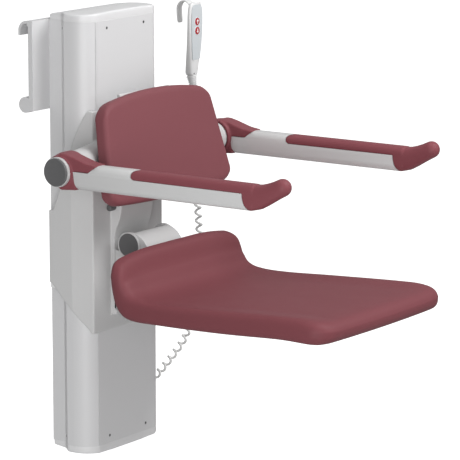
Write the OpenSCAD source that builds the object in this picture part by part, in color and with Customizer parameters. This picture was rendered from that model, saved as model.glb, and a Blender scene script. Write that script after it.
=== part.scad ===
// Height-adjustable shower seat that hangs on a horizontal wall rail.
// X runs left to right as seen from in front, -Y is the front and +Y is the wall, Z is up.
// The origin lies on the wall, in the middle, at the height of the rail's top edge.

/* [Wall hanger] */
// Distance from the wall to the back of the column
wall_gap = 42; // [36:1:60]
// Width of the hanger along the rail
hanger_w = 360; // [300:2:420]
// Height of the hanger plate below the rail's top edge
hanger_h = 190; // [150:1:240]
// Thickness of the hanger plate
hanger_t = 12; // [8:0.5:16]
// Height of the hanger above the rail's top edge
hook_rise = 12; // [8:0.5:18]
// Thickness of the hook's tip behind the rail
hook_t = 6; // [4:0.5:9]
// Outer radius of the hook
hook_r = 22; // [14:1:24]
// How far the tip reaches down behind the rail
hook_drop = 21; // [12:1:30]
// Space between the hook's tip and the wall
hook_wall_space = 3; // [1:0.5:8]
// Outer radius of the round boss at the foot of the hanger
boss_r = 18; // [14:0.5:22]
// Radius of the locking rod in the boss
lock_rod_r = 12; // [8:0.5:13]
// Height of the wall pad at the foot of the column
wall_pad_h = 40; // [20:1:80]
// Width of the wall pad
wall_pad_w = 100; // [60:2:200]

/* [Column] */
// Length of the column profile without its end caps
column_len = 969; // [900:1:1100]
// Width of the column over its sides
column_w = 282; // [270:1:300]
// Width of the narrow strip next to the wall
strip_w = 238; // [226:1:246]
// Depth of the column from back to front
column_depth = 124; // [118:1:140]
// Depth of the narrow strip
strip_depth = 35; // [28:1:40]
// Depth at which the slanted step reaches the full width
step_depth = 58; // [50:1:62]
// Depth at which the front corner starts to curve
side_depth = 75; // [68:1:80]
// Wall of the column profile
column_wall = 4; // [2.5:0.5:5]
// Width of the flat front cover
cover_w = 208; // [190:1:210]
// Thickness of the front cover
cover_t = 4; // [3:0.5:6]
// Seam beside the cover, which the drive blades pass through
seam_w = 6; // [5:0.5:9]
// Height of the end caps at the front edge
cap_h = 20; // [12:1:24]
// Distance of the cover screws from the column's ends
screw_inset = 17; // [10:1:26]
// Distance of the cover screws from the middle
screw_x = 69; // [50:1:90]
// Radius of the cover screws
cover_screw_r = 3.2; // [2:0.2:4.5]

/* [Carriage] */
// Lowest point of the carriage shell at rest
shell_low = 692; // [660:1:720]
// Highest point of the carriage shell at rest, measured down from the rail
shell_top = 185; // [170:1:200]
// Width of the carriage at its front corners
shell_front_w = 262; // [256:1:280]
// Width of the carriage at its back edge
shell_back_w = 294; // [292:1:310]
// Thickness of the carriage's front wall
shell_wall = 3.4; // [2.6:0.2:5]
// Running gap between the column and the carriage
run_gap = 1.4; // [1:0.1:2.5]
// Width of the raised spine
spine_w = 120; // [100:1:130]
// Width of the spine at its root
spine_root_w = 134; // [120:1:144]
// How far the spine's upper part stands out from the carriage's front
spine_rise = 30; // [20:1:36]
// How far the spine's lower part stands out
spine_low_rise = 9; // [5:0.5:14]
// Lowest point of the spine
spine_low = 657; // [630:1:680]
// Thickness of the steel plate in the carriage's middle
plate_t = 9; // [4:0.5:9]
// Thickness of the steel plate's wings
wing_t = 2; // [1:0.2:2.4]
// Thickness of the two drive blades
blade_t = 3; // [2:0.2:3.4]
// Upward travel of the carriage from rest
lift_up = 120; // [60:10:140]
// Downward travel of the carriage from rest
lift_down = 240; // [160:10:240]

/* [Armrests] */
// Distance between the middle planes of the two armrests
arm_span = 596; // [580:2:680]
// Distance of the arm hinge from the wall
hinge_y = 223; // [220:1:240]
// Arm hinge below the rail's top edge
arm_axis_z = 289; // [270:1:310]
// Radius of the arm hub's soft cover
hub_r = 40.5; // [38:0.5:46]
// Radius of the soft cover at the hub's outer end
hub_end_r = 34; // [33.5:0.5:40]
// Radius of the arm hub's core
hub_core_r = 33; // [31:0.5:35]
// Radius of the round end caps
cap_r = 30.8; // [24:0.2:31]
// Radius of the arm hinge pins
arm_pin_r = 12; // [8:0.5:16]
// Height of the arm tube
tube_h = 57; // [48:1:62]
// Width of the arm tube
tube_w = 42; // [36:1:48]
// Length of the arm from the hinge to the end of its tube
tube_len = 478; // [420:1:520]
// Length of the arm from the hinge to the tip of its grip
arm_len = 587; // [560:1:640]
// Distance from the hinge to the start of the arm pad
pad_start = 190; // [150:1:240]
// Depth of the arm pad in the tube
pad_depth = 20; // [14:1:26]
// Radius of the arm carriers at the hinge
carrier_r = 37; // [30:1:38]
// Radius of the arm carriers at the carriage
carrier_in_r = 26; // [20:1:32]

/* [Backrest] */
// Height of the backrest cushion along its slope
back_h = 246; // [220:1:270]
// Width of the backrest at its foot
back_w = 474; // [420:2:480]
// Width of the backrest at its top
back_top_w = 394; // [360:2:440]
// Thickness of the backrest cushion
back_t = 36; // [30:1:44]
// Angle by which the backrest leans back
recline = 12.5; // [8:0.5:14]
// Foot of the backrest below the rail's top edge
back_foot_z = 388; // [380:1:400]
// Distance from the wall to the back face at the backrest's foot
back_foot_y = 272; // [268:1:300]
// Thickness of the plate behind the backrest
back_plate_t = 8; // [5:0.5:12]

/* [Seat] */
// Seat hinge below the rail's top edge
seat_axis_z = 492; // [480:1:505]
// Width of the seat cushion at the back
seat_w = 470; // [440:2:510]
// Width of the seat cushion at the front
seat_front_w = 496; // [400:2:500]
// Reach of the seat cushion in front of its hinge
seat_reach = 648; // [560:2:680]
// Sitting surface below the hinge
seat_drop = 84; // [78:1:92]
// Distance of the back lip from the hinge
lip_back = 61.5; // [58:0.5:72]
// Height of the back lip above the hinge
lip_rise = 10; // [6:1:34]
// Thickness of the back lip
lip_t = 38; // [30:1:42]
// Thickness of the seat cushion at the back
seat_back_t = 47; // [40:1:52]
// Thickness of the seat cushion near the front
seat_front_t = 36; // [28:1:42]
// Radius of the seat hinge pin
seat_pin_r = 10; // [7:0.5:14]
// Radius of the bracket's round ears
ear_r = 29.6; // [28:0.2:30]
// Thickness of the bracket's ears
ear_t = 6; // [4:0.5:8]
// Radius of the seat hinge caps
seat_cap_r = 27; // [20:0.5:28]

/* [Handset] */
// Sideways place of the handset on the rail
handset_x = 434; // [410:1:460]
// Length of the handset's body
handset_len = 176; // [160:1:190]
// Width of the handset at its top
handset_w = 46; // [42:1:56]
// Width of the handset at its foot
handset_foot_w = 34; // [30:1:40]
// Depth of the handset's body
handset_d = 24; // [18:1:28]
// Top of the handset's body below the rail's top edge
handset_top = 2; // [0:1:10]
// Radius of the two buttons
button_r = 9; // [7:0.5:11]
// Distance between the two buttons
button_pitch = 22; // [19.5:0.5:26]
// Travel of the buttons
button_travel = 1; // [0.6:0.1:1.6]

/* [Cord] */
// Diameter of the handset's cord
cord_d = 6; // [3.5:0.5:6]
// Outer diameter of the cord's curls
curl_d = 19; // [14:1:20]
// Number of curls
curls = 42; // [30:1:50]

/* [Hidden] */
$fn = 64;

// Colours of the real finishes
shell_white = [0.80, 0.81, 0.82];
profile_white = [0.86, 0.87, 0.88];
soft_red = [0.50, 0.30, 0.33];
cap_grey = [0.29, 0.29, 0.29];
steel = [0.62, 0.63, 0.65];
slide_black = [0.12, 0.12, 0.13];

// Clearances
run_fit = 0.05;      // between a pin and its bore
side_fit = 0.4;      // between parts that turn beside each other
soft_fit = 0.4;      // between a cushion and what lies behind it
eps = 0.01;          // overlap of cutting shapes

// Column
col_top = hook_rise;
col_bot = col_top - column_len;
corner_r = 52;       // radius of the column's front corners
half_w = column_w / 2;
half_strip = strip_w / 2;
front_y = -(wall_gap + column_depth);
cover_half = cover_w / 2;
opening_half = cover_half + seam_w;
bracket_h = 30;      // height of the blocks inside the column's ends
rib_gap = 13;        // space between the guide ribs that the sled runs in
rib_t = 4;           // thickness of a guide rib
rib_depth = 98;      // depth of the space between the guide ribs
rib_in = 23;         // length of a guide rib inward from the side wall
front_rib_in = 9;    // length of the front rib, which ends in the curved corner
cap_crown_r = 3000;  // radius of the caps' crown from side to side
cap_slope_r = 620;   // radius of the caps' crown from back to front

// Hanger
boss_y = -(wall_gap - hanger_t) + boss_r - 8;
boss_z = -(hanger_h - boss_r + 5);

// Carriage
shell_y = front_y - run_gap - shell_wall;
shell_in = front_y - run_gap;   // inner face of the carriage's front wall
bump_in = 15.5;      // how far the shell's back edge lies in front of the column's back
plate_half = 109;
blade_x = cover_half + seam_w / 2;
sled_top = -(shell_top + 55);
sled_low = -(shell_low - 52);
sled_t = 8;
sled_y = -(wall_gap + rib_depth + (rib_gap - sled_t) / 2);
spine_half = spine_w / 2;
spine_y = shell_y - spine_rise;
spine_low_y = shell_y - spine_low_rise;
rod_top = sled_top - 10;
rod_len = 400;
rod_r = 12.5;
tube_out_r = 20;
actuator_y = -(wall_gap + 68);
tube_low = col_bot + bracket_h + 27;
tube_top = rod_top - lift_down - 12;

// Hinges
seat_axis = [0, -hinge_y, -seat_axis_z];
knuckle_r = 24;
seat_plate_t = 4;
hood_r = lip_back - soft_fit - seat_plate_t;   // the hood over the seat hinge
hood_low = 27;       // how far the hood's centre lies below the hinge
hood_t = 3;
leg_low = 150;       // how far the bracket's legs reach below the hinge
stop_t = 4;          // thickness of the rubber stops
leg_stop = hinge_y + spine_low_y - stop_t;     // back of the legs, behind the hinge

// Armrests
arm_x = arm_span / 2;
hub_in = arm_x - 34;
hub_out = arm_x + 32;
arm_cap_t = 5;
hub_taper = 30;      // length over which the soft cover widens
tube_top_z = 20;     // top of the arm tube above the hinge
grip_r = 19;         // radius of the raised grip
grip_rise = 28;      // angle by which the grip rises

// Handset
handset_y = -(wall_gap + 14);
handset_low = -(handset_top + handset_len);
shell_split = 6;     // depth of the handset's front shell
neck_d = 11.5;       // depth of the handset at its top
button_z = -(handset_top + 46);
label_t = 0.6;
board_y = 5.6 + button_travel;   // distance of the circuit board behind the face
board_t = 1.6;

// Cord
curl_rings = 8;
cord_sides = 6;
cord_path_r = (curl_d - cord_d) / 2;
relief_len = 30;
cord_start = [handset_x, handset_y + 11, handset_low - relief_len];
socket_z = col_bot + 42;
cord_end = [half_strip + 26, -62, socket_z];
cord_route = [
    cord_start, [434, -44, -250], [436, -42, -330], [442, -42, -410], [452, -42, -480],
    [460, -42, -550], [462, -42, -620], [455, -42, -690], [435, -42, socket_z + 165],
    [402, -42, socket_z + 103], [330, -46, socket_z + 59], [250, -52, socket_z + 25],
    [185, -60, socket_z + 5], cord_end
];

// Points of an arc about the origin, from one angle to another
function bend(r, a1, a2, steps = 12) =
    [for (i = [0 : steps]) r * [cos(a1 + (a2 - a1) * i / steps), sin(a1 + (a2 - a1) * i / steps)]];

// Extrudes a side view, drawn as [y, z], along X
module side_view(w) {
    rotate([90, 0, 90]) linear_extrude(w, center = true) children();
}

// Extrudes a plan, drawn as [x, y], from one height to another
module plan(z_low, z_high) {
    translate([0, 0, z_low]) linear_extrude(z_high - z_low) children();
}

// Makes the second copy of a piece on the other side
module both_sides() {
    children();
    mirror([1, 0, 0]) children();
}

// A cylinder along X from x1 to x2, or a cone when its second radius differs
module x_cylinder(r, x1, x2, r2 = undef) {
    translate([x1, 0, 0]) rotate([0, 90, 0])
        cylinder(r1 = r, r2 = is_undef(r2) ? r : r2, h = x2 - x1);
}

// A smooth curve through the points of a list, with n steps from one point to the next
function spline_point(a, b, c, d, t) =
    0.5 * (2 * b + (c - a) * t + (2 * a - 5 * b + 4 * c - d) * t * t
    + (3 * b - a - 3 * c + d) * t * t * t);
function spline(p, n) = let (m = len(p) - 1) [
    for (i = [0 : m - 1], k = [0 : n - 1])
        spline_point(p[max(i - 1, 0)], p[i], p[i + 1], p[min(i + 2, m)], k / n),
    p[m]
];

// How far a rounded corner of radius r draws in at distance a from the middle
function corner(a, half, r) =
    a <= half - r ? 0 : r - sqrt(max(0, r * r - pow(a - half + r, 2)));
function clamp(v) = min(1, max(0, v));
function unit(v) = v / norm(v);

// A closed skin over rings of equal length; the ends are closed as ladders
module skin(rings) {
    m = len(rings[0]);
    n = len(rings);
    h = m / 2;
    points = [for (r = rings, p = r) p];
    sides = [
        for (i = [0 : n - 2], j = [0 : m - 1]) let (
            a = i * m + j,
            b = i * m + (j + 1) % m,
            c = b + m,
            d = a + m
        ) each [[a, c, b], [a, d, c]]
    ];
    first = [
        for (j = [0 : h - 2]) let (k = m - 1 - j) each [[j, j + 1, k - 1], [j, k - 1, k]]
    ];
    last = [for (f = first) [f[0], f[2], f[1]] + [1, 1, 1] * (n - 1) * m];
    polyhedron(points, concat(sides, first, last), convexity = 6);
}

// Outline of the column, drawn in by t all round
module column_outline(t = 0) {
    w = half_w - t;
    n = half_strip - t;
    step = -step_depth - 0.4 * t;
    notch = -strip_depth - 0.4 * t;
    front = -column_depth + t;
    translate([0, -wall_gap]) difference() {
        polygon([[-n, -t], [n, -t], [n, notch], [w, step], [w, front], [-w, front], [-w, step], [-n, notch]]);
        for (s = [0, 1]) mirror([s, 0]) translate([half_w - corner_r, -side_depth]) difference() {
            translate([0, -corner_r - 10]) square([corner_r + 10, corner_r + 10]);
            circle(r = corner_r - t);
        }
    }
}

module column_profile() {
    color(profile_white) difference() {
        plan(col_bot, col_top) {
            difference() {
                column_outline();
                column_outline(column_wall);
                translate([-opening_half, front_y - 1]) square([2 * opening_half, column_wall + 9]);
            }
            intersection() {
                column_outline(1);
                for (s = [0, 1]) mirror([s, 0]) translate([half_w - column_wall - rib_in, -wall_gap]) {
                    translate([0, -rib_depth]) square([rib_in - 2, rib_t]);
                    translate([0, -rib_depth - rib_gap - rib_t]) square([front_rib_in, rib_t]);
                }
            }
        }
        translate([half_strip - 10, cord_end[1], cord_end[2]])
            x_cylinder(7, 0, 20);
    }
}

module front_cover() {
    color(profile_white) difference() {
        plan(col_bot, col_top) translate([-cover_half, front_y]) square([cover_w, cover_t]);
        cover_screw_places() translate([0, -1, 0]) rotate([-90, 0, 0])
            cylinder(r = cover_screw_r, h = cover_t + 2);
    }
}

// The four places of the cover screws on the front face
module cover_screw_places() {
    for (x = [-screw_x, screw_x], z = [col_top - screw_inset, col_bot + screw_inset])
        translate([x, front_y, z]) children();
}

module cover_screws() {
    color(cap_grey) cover_screw_places() rotate([-90, 0, 0]) cylinder(r = cover_screw_r, h = cover_t + 14);
}

// Two screws in each side groove, square to the slanted step
module groove_screws() {
    a = atan2(half_w - half_strip, step_depth - strip_depth);
    color(steel) for (z = [col_top - screw_inset, col_bot + screw_inset]) both_sides()
        translate([(half_w + half_strip) / 2, -wall_gap - (strip_depth + step_depth) / 2, z])
            rotate([0, 0, a]) x_cylinder(3, 0, 0.8);
}

// End cap with the column's outline and a low dome
module end_cap() {
    intersection() {
        plan(0, cap_h) column_outline();
        translate([0, -wall_gap - column_depth * 0.8, cap_h - cap_slope_r])
            x_cylinder(cap_slope_r, -half_w - 10, half_w + 10, $fn = 360);
        translate([0, 0, cap_h - cap_crown_r]) rotate([90, 0, 0])
            cylinder(r = cap_crown_r, h = wall_gap + column_depth + 10, $fn = 720);
    }
}

module top_cap() {
    color(shell_white) translate([0, 0, col_top]) end_cap();
}

module bottom_cap() {
    color(shell_white) translate([0, 0, col_bot]) mirror([0, 0, 1]) end_cap();
}

// Block inside an end of the column that holds the cover
module end_bracket() {
    d = column_depth - column_wall - cover_t;
    difference() {
        translate([-cover_half + 2, -wall_gap - column_depth + cover_t, 0])
            cube([cover_w - 4, d, bracket_h]);
        translate([-cover_half + 20, -wall_gap - column_depth + cover_t + 24, -1])
            cube([cover_w - 40, d - 36, bracket_h + 2]);
    }
}

module top_bracket() {
    color(steel) difference() {
        translate([0, 0, col_top - bracket_h]) end_bracket();
        cover_screw_places() rotate([-90, 0, 0]) cylinder(r = cover_screw_r, h = cover_t + 14);
    }
}

module bottom_bracket() {
    color(steel) difference() {
        translate([0, 0, col_bot]) end_bracket();
        cover_screw_places() rotate([-90, 0, 0]) cylinder(r = cover_screw_r, h = cover_t + 14);
    }
}

module wall_hanger() {
    mid = [-hook_wall_space - hook_r, hook_rise - hook_r];
    front = -wall_gap + hanger_t;
    color(profile_white) difference() {
        union() {
            side_view(hanger_w) polygon(concat(
                [[-wall_gap, -hanger_h], [-wall_gap, hook_rise]],
                [for (q = bend(hook_r, 90, 0)) mid + q],
                [[mid[0] + hook_r, -hook_drop], [mid[0] + hook_r - hook_t, -hook_drop]],
                [for (q = bend(hook_r - hook_t, 0, 90)) mid + q],
                [[mid[0] - 2, hook_rise - hook_t], [mid[0] - 2, 0], [front, 0], [front, -hanger_h]]
            ));
            translate([0, boss_y, boss_z]) x_cylinder(boss_r, -hanger_w / 2, hanger_w / 2);
        }
        translate([0, boss_y, boss_z]) x_cylinder(lock_rod_r, -hanger_w / 2 - 1, hanger_w / 2 + 1);
    }
}

module lock_rod() {
    color(steel) translate([0, boss_y, boss_z]) x_cylinder(lock_rod_r, -hanger_w / 2 + 0.3, hanger_w / 2 - 0.3);
}

module wall_pad() {
    color(slide_black) translate([-wall_pad_w / 2, -wall_gap, col_bot + 50])
        cube([wall_pad_w, wall_gap, wall_pad_h]);
}

// Motor and gear housing at the foot of the column
module actuator_housing() {
    motor_x = 62;
    color(cap_grey) translate([0, actuator_y, col_bot + bracket_h]) {
        translate([-28, -26, 0]) cube([motor_x + 56, 52, 27]);
        translate([motor_x, 0, 27 - eps]) cylinder(r = 26, h = 110);
    }
}

module actuator_tube() {
    color(steel) translate([0, actuator_y, 0]) difference() {
        translate([0, 0, tube_low]) cylinder(r = tube_out_r, h = tube_top - tube_low);
        translate([0, 0, tube_low + 6]) cylinder(r = rod_r + run_fit, h = tube_top - tube_low);
    }
}

module control_box() {
    color(cap_grey) translate([-102, actuator_y - 26, col_bot + bracket_h]) cube([70, 60, 150]);
}

// Socket in the column's side that the handset's cord plugs into
module cord_socket() {
    color(cap_grey) translate([0, cord_end[1], cord_end[2]]) {
        x_cylinder(7, half_strip - column_wall, half_strip);
        x_cylinder(9, half_strip, half_strip + 6);
        x_cylinder(6, half_strip + 6, cord_end[0]);
    }
}

// Half of the handset's front view, from its top to its foot, as [half-width, height]
handset_half = [
    [0.54, -1], [0.76, -8], [0.89, -18], [0.97, -30], [1, -42], [0.99, -62], [0.95, -88], [0.88, -115],
    [0.81, -140], [0.75, -162]
];

// Front view of the handset's body, drawn as [x, z] and drawn in by t
module handset_front_view(t = 0) {
    w = handset_w / 2;
    f = handset_foot_w / 2;
    half = concat(
        [for (p = handset_half) [w * p[0] - t, -handset_top + p[1] - (p[1] > -2 ? t - 1 : 0)]],
        [[f - t, handset_low + 8], [f - 6 - t, handset_low + t]]
    );
    polygon(concat(half, [for (i = [len(half) - 1 : -1 : 0]) [-half[i][0], half[i][1]]]));
}

// Side view of the handset's body, drawn as [y, z]: its back leans out towards the foot
module handset_side(t = 0) {
    translate([handset_y, 0]) polygon([
        [-2, 5], [-2, handset_low - 5], [handset_d - t, handset_low - 5], [handset_d - t, handset_low + 14],
        [handset_d - 4.5 - t, handset_low + 52], [neck_d - t, -handset_top - 48], [neck_d - t, 5]
    ]);
}

// A slab of the handset's front view between two distances behind its face
module handset_slab(y1, y2, t = 0) {
    translate([handset_x, handset_y + y2, 0]) rotate([90, 0, 0])
        linear_extrude(y2 - y1) handset_front_view(t);
}

module button_places() {
    for (s = [0, 1]) translate([handset_x, handset_y, button_z - s * button_pitch]) children();
}

module handset_front() {
    color(shell_white) difference() {
        handset_slab(0, shell_split);
        handset_slab(2.4, shell_split + 1, 2.4);
        button_places() translate([0, 5, 0]) rotate([90, 0, 0]) cylinder(r = button_r + 0.2, h = 10);
        label_slab(-1, label_t);
    }
}

module handset_back() {
    // Each post under the board stands on the back at this height and depth
    posts = [[button_z + 12, neck_d - 1], [button_z - button_pitch - 10, neck_d + 1]];
    color(shell_white) for (x = [-8, 8], p = posts)
        translate([handset_x + x, handset_y + p[1], p[0]]) rotate([90, 0, 0])
            cylinder(r = 2.5, h = p[1] - board_y - board_t);
    color(shell_white) difference() {
        intersection() {
            handset_slab(shell_split, handset_d);
            translate([handset_x, 0, 0]) side_view(handset_w + 2) handset_side();
        }
        intersection() {
            handset_slab(shell_split - 1, handset_d - 2.4, 2.4);
            translate([handset_x, 0, 0]) side_view(handset_w + 2) handset_side(2);
        }
        translate([handset_x, handset_y + handset_d + 1, handset_low + 14]) rotate([90, 0, 0])
            cylinder(r = 2.5, h = 6);
    }
}

// Hook that hangs the handset over the rail
module handset_hook() {
    t = 3;
    r = 21;
    back_y = handset_y + neck_d;
    color(shell_white) translate([handset_x, back_y + r, t - r]) side_view(24) polygon(concat(
        [[-r, -30]], bend(r, 180, -45, 24), bend(r - t, -45, 180, 24), [[t - r, -30]]
    ));
}

// A slab of the label's front view between two distances behind the handset's face
module label_slab(y1, y2) {
    w = handset_w / 2;
    half = [
        [0.42 * w, -6], [0.66 * w, -11], [0.81 * w, -22], [0.89 * w, -42], [0.87 * w, -66],
        [0.7 * w, -110], [0.57 * w, -136], [0.44 * w, -140]
    ];
    translate([handset_x, handset_y + y2, -handset_top]) rotate([90, 0, 0])
        linear_extrude(y2 - y1)
            polygon(concat(half, [for (i = [len(half) - 1 : -1 : 0]) [-half[i][0], half[i][1]]]));
}

module handset_label() {
    color([0.62, 0.66, 0.68]) difference() {
        label_slab(0, label_t);
        button_places() translate([0, 5, 0]) rotate([90, 0, 0]) cylinder(r = button_r + 0.2, h = 10);
    }
}

module handset_screw() {
    color(cap_grey) translate([handset_x, handset_y + handset_d, handset_low + 14]) rotate([90, 0, 0])
        cylinder(r = 2.5, h = 5);
}

// Circuit board with the two key domes
module handset_board() {
    color([0.2, 0.45, 0.3])
        translate([handset_x - 14, handset_y + board_y, button_z - button_pitch - 16])
            cube([28, board_t, button_pitch + 34]);
}

module button(s) {
    translate([handset_x, handset_y, button_z - s * button_pitch]) rotate([90, 0, 0])
        translate([0, 0, -5]) cylinder(r = button_r, h = 5 + 1.6);
}

module button_up() {
    color([0.73, 0.12, 0.16]) button(0);
}

module button_down() {
    color([0.73, 0.12, 0.16]) button(1);
}

module handset_strain_relief() {
    color(shell_white) translate([handset_x, cord_start[1], handset_low - relief_len]) {
        cylinder(r1 = 4.5, r2 = 9, h = relief_len);
        for (z = [4 : 5 : 24]) translate([0, 0, z]) cylinder(r = 6 + 3.6 * z / 24, h = 2.2);
    }
}

// Middle line of the cord: straight at both ends, wound in curls between them
cord_turn_steps = curls * curl_rings;
cord_spans = len(cord_route) - 1;
function route_at(u) = let (
    v = u * cord_spans,
    i = min(floor(v), cord_spans - 1),
    t = v - i
) spline_point(cord_route[max(i - 1, 0)], cord_route[i], cord_route[i + 1],
    cord_route[min(i + 2, cord_spans)], t);
function route_side(u) =
    unit(cross(route_at(min(1, u + 0.004)) - route_at(max(0, u - 0.004)), [0, 1, 0]));
function wind_dir(u, a) = route_side(u) * cos(a) + [0, 1, 0] * sin(a);
straight = 0.012;    // share of the route that is straight at each end
cord_marks = concat(
    [[0, 0, 0], [straight, 0, 0]],
    [for (k = [1 : cord_turn_steps - 1]) [
        straight + (1 - 2 * straight) * k / cord_turn_steps,
        k * 360 / curl_rings,
        min(1, k / curl_rings, (cord_turn_steps - k) / curl_rings)
    ]],
    [[1 - straight, 0, 0], [1, 0, 0]]
);
cord_line = [for (m = cord_marks) route_at(m[0]) + wind_dir(m[0], m[1]) * cord_path_r * m[2]];
cord_last = len(cord_line) - 1;
function cord_ring(i) = let (
    along = i == 0 ? [0, 0, -1] : i == cord_last ? [-1, 0, 0]
        : unit(cord_line[i + 1] - cord_line[i - 1]),
    w = wind_dir(cord_marks[i][0], cord_marks[i][1]),
    p = unit(w - along * (w * along)),
    q = cross(along, p)
) [for (k = [0 : cord_sides - 1]) cord_line[i]
    + (p * cos(k * 360 / cord_sides) + q * sin(k * 360 / cord_sides)) * cord_d / 2];
cord_gap = min([for (i = [0 : 2 : cord_last], j = [i + curl_rings - 1 : cord_last])
    norm(cord_line[i] - cord_line[j])]) - cord_d;
cord_length = [for (i = [0 : cord_last - 1]) norm(cord_line[i + 1] - cord_line[i])]
    * [for (i = [0 : cord_last - 1]) 1];

module curly_cord() {
    echo(cord_least_gap = cord_gap, cord_length = cord_length);
    color(shell_white) skin([for (i = [0 : cord_last]) cord_ring(i)]);
}

// Plan of the carriage shell
module shell_plan() {
    f = shell_front_w / 2;
    b = shell_back_w / 2;
    polygon([
        [-f, shell_y], [f, shell_y], [b - 1, -wall_gap - side_depth - 3], [b, -wall_gap - bump_in],
        [-b, -wall_gap - bump_in], [-b + 1, -wall_gap - side_depth - 3]
    ]);
}

// Side view of the carriage shell
module shell_side() {
    back = -wall_gap - bump_in;
    polygon([
        [shell_y - 4, -shell_top - 2], [-159, -shell_top], [-150, -shell_top - 13], [-130.5, -238],
        [-118, -275], [-88, -366], [back - 11.5, -415], [back, -416],
        [back, -582], [back - 6, -585], [-160, -shell_low + 7], [-164, -shell_low], [shell_y - 4, -shell_low]
    ]);
}

// Side view of the spine: a proud upper part, a hollow above the seat hinge and a low foot
module spine_side() {
    z = -seat_axis_z;
    polygon(concat(
        [[shell_y + 1, -shell_top - 10], [spine_y + 12, -shell_top - 10], [spine_y, -shell_top - 40]],
        spline([
            [spine_y, z + 110], [spine_y + 3.5, z + 80], [spine_y + 8.3, z + 55],
            [spine_y + 17, z + 31], [spine_low_y, z + 8], [spine_low_y, z - 8]
        ], 3),
        [
            [spine_low_y, -spine_low + 12], [spine_low_y - 3.7, -spine_low + 12],
            [spine_low_y - 3.7, -spine_low], [shell_y + 1, -spine_low]
        ]
    ));
}

// The spine, wider at its root than at its front
module spine_solid() {
    intersection() {
        side_view(spine_root_w + 2) spine_side();
        plan(-shell_low, -shell_top) polygon([
            [-spine_root_w / 2, shell_y + 1], [-spine_half, spine_y],
            [spine_half, spine_y], [spine_root_w / 2, shell_y + 1]
        ]);
    }
}

module carriage_shell() {
    color(shell_white) difference() {
        union() {
            intersection() {
                plan(-shell_low, -shell_top) shell_plan();
                side_view(shell_back_w + 20) shell_side();
            }
            spine_solid();
        }
        plan(-shell_low - 1, -shell_top + 1) {
            column_outline(-run_gap);
            translate([-half_w - run_gap, -wall_gap - side_depth])
                square([2 * (half_w + run_gap), side_depth + 2]);
        }
        plate_solid();
        blade_solid();
    }
}

// Plate behind the carriage's front wall, thick within the spine and thin beside it
module plate_solid() {
    h = sled_top - sled_low;
    translate([-plate_half, shell_in - wing_t, sled_low]) cube([2 * plate_half, wing_t, h]);
    translate([-spine_half + 6, shell_in - plate_t, sled_low]) cube([spine_w - 12, plate_t, h]);
}

module carriage_plate() {
    color(steel) plate_solid();
}

// Two strips that join the carriage to the sled through the seams beside the cover
module blade_solid() {
    both_sides() translate([blade_x - blade_t / 2, shell_in, sled_low])
        cube([blade_t, sled_y - sled_t - shell_in, sled_top - sled_low]);
}

module drive_blades() {
    color(steel) blade_solid();
}

module sled_plate() {
    color(steel) {
        translate([-plate_half - 2, sled_y - sled_t, sled_low])
            cube([2 * plate_half + 4, sled_t, sled_top - sled_low]);
        translate([-20, sled_y - eps, rod_top]) cube([40, actuator_y + 22 - sled_y, 10]);
    }
}

// Glides of the shell that reach in behind the slanted step
module side_glides() {
    g = side_fit;
    color(slide_black) for (z = [-shell_low + 112, -shell_low + 252]) both_sides() plan(z - 15, z + 15) polygon([
        [half_strip + g, -wall_gap - bump_in], [half_w + run_gap, -wall_gap - bump_in],
        [half_w + run_gap, -wall_gap - step_depth + 1], [half_w, -wall_gap - step_depth + 1],
        [half_strip + g, -wall_gap - strip_depth + 1]
    ]);
}

// Glides of the sled that run between the guide ribs
module sled_glides() {
    g = side_fit;
    x1 = plate_half + 2;
    color(slide_black) for (z = [sled_top - 60, sled_low]) plan(z, z + 60) intersection() {
        column_outline(column_wall + g);
        for (s = [0, 1]) mirror([s, 0]) translate([x1, -wall_gap - rib_depth - rib_gap + g])
            square([half_w - x1, rib_gap - 2 * g]);
    }
}

module actuator_rod() {
    color(steel) translate([0, actuator_y, rod_top - rod_len]) cylinder(r = rod_r, h = rod_len);
}

module rod_bolt() {
    color(steel) translate([0, actuator_y, rod_top + 10]) cylinder(r = 8, h = 7, $fn = 6);
}

// Barrel that carries an armrest, swept in from the hinge to the carriage
module arm_carrier_left() {
    inner = [-spine_half + 4, shell_y + 4, -arm_axis_z + 13];
    outer = [-hub_in + side_fit, -hinge_y, -arm_axis_z];
    d = inner - outer;
    turn = atan2(d[1], d[0]);
    tilt = acos(d[2] / norm(d));
    color(shell_white) difference() {
        union() {
            translate(outer) rotate([0, tilt, turn])
                cylinder(r1 = carrier_r, r2 = carrier_in_r, h = norm(d));
            translate(outer) x_cylinder(carrier_r, 0, 20);
        }
        translate([-600, shell_y, -600]) cube([1200, 200, 600]);
        translate([-spine_half, -400, -600]) cube([600, 400, 600]);
        spine_solid();
        translate([-700, -400, -600]) cube([700 + outer[0], 400, 600]);
        translate([0, outer[1], outer[2]]) x_cylinder(arm_pin_r, outer[0] - 1, outer[0] + 60);
    }
}

module arm_carrier_right() {
    mirror([1, 0, 0]) arm_carrier_left();
}

module arm_pin_left() {
    color(steel) translate([0, -hinge_y, -arm_axis_z])
        x_cylinder(arm_pin_r, -hub_out + 2, -hub_in + side_fit + 60);
}

module arm_pin_right() {
    mirror([1, 0, 0]) arm_pin_left();
}

// Moves from the backrest's foot up its sloping back face
module on_back() {
    translate([0, -back_foot_y, -back_foot_z]) rotate([-recline, 0, 0]) children();
}

module back_plate() {
    w = 188;
    color(shell_white) on_back() translate([-w / 2, 0, 20]) cube([w, back_plate_t, back_h - 19]);
}

module back_bracket() {
    color(shell_white) difference() {
        translate([-40, -back_foot_y - 10, -shell_top - 130]) cube([80, back_foot_y + 10 + spine_y, 90]);
        on_back() translate([-300, -100, -100]) cube([600, 100 + back_plate_t, 500]);
    }
}

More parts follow.
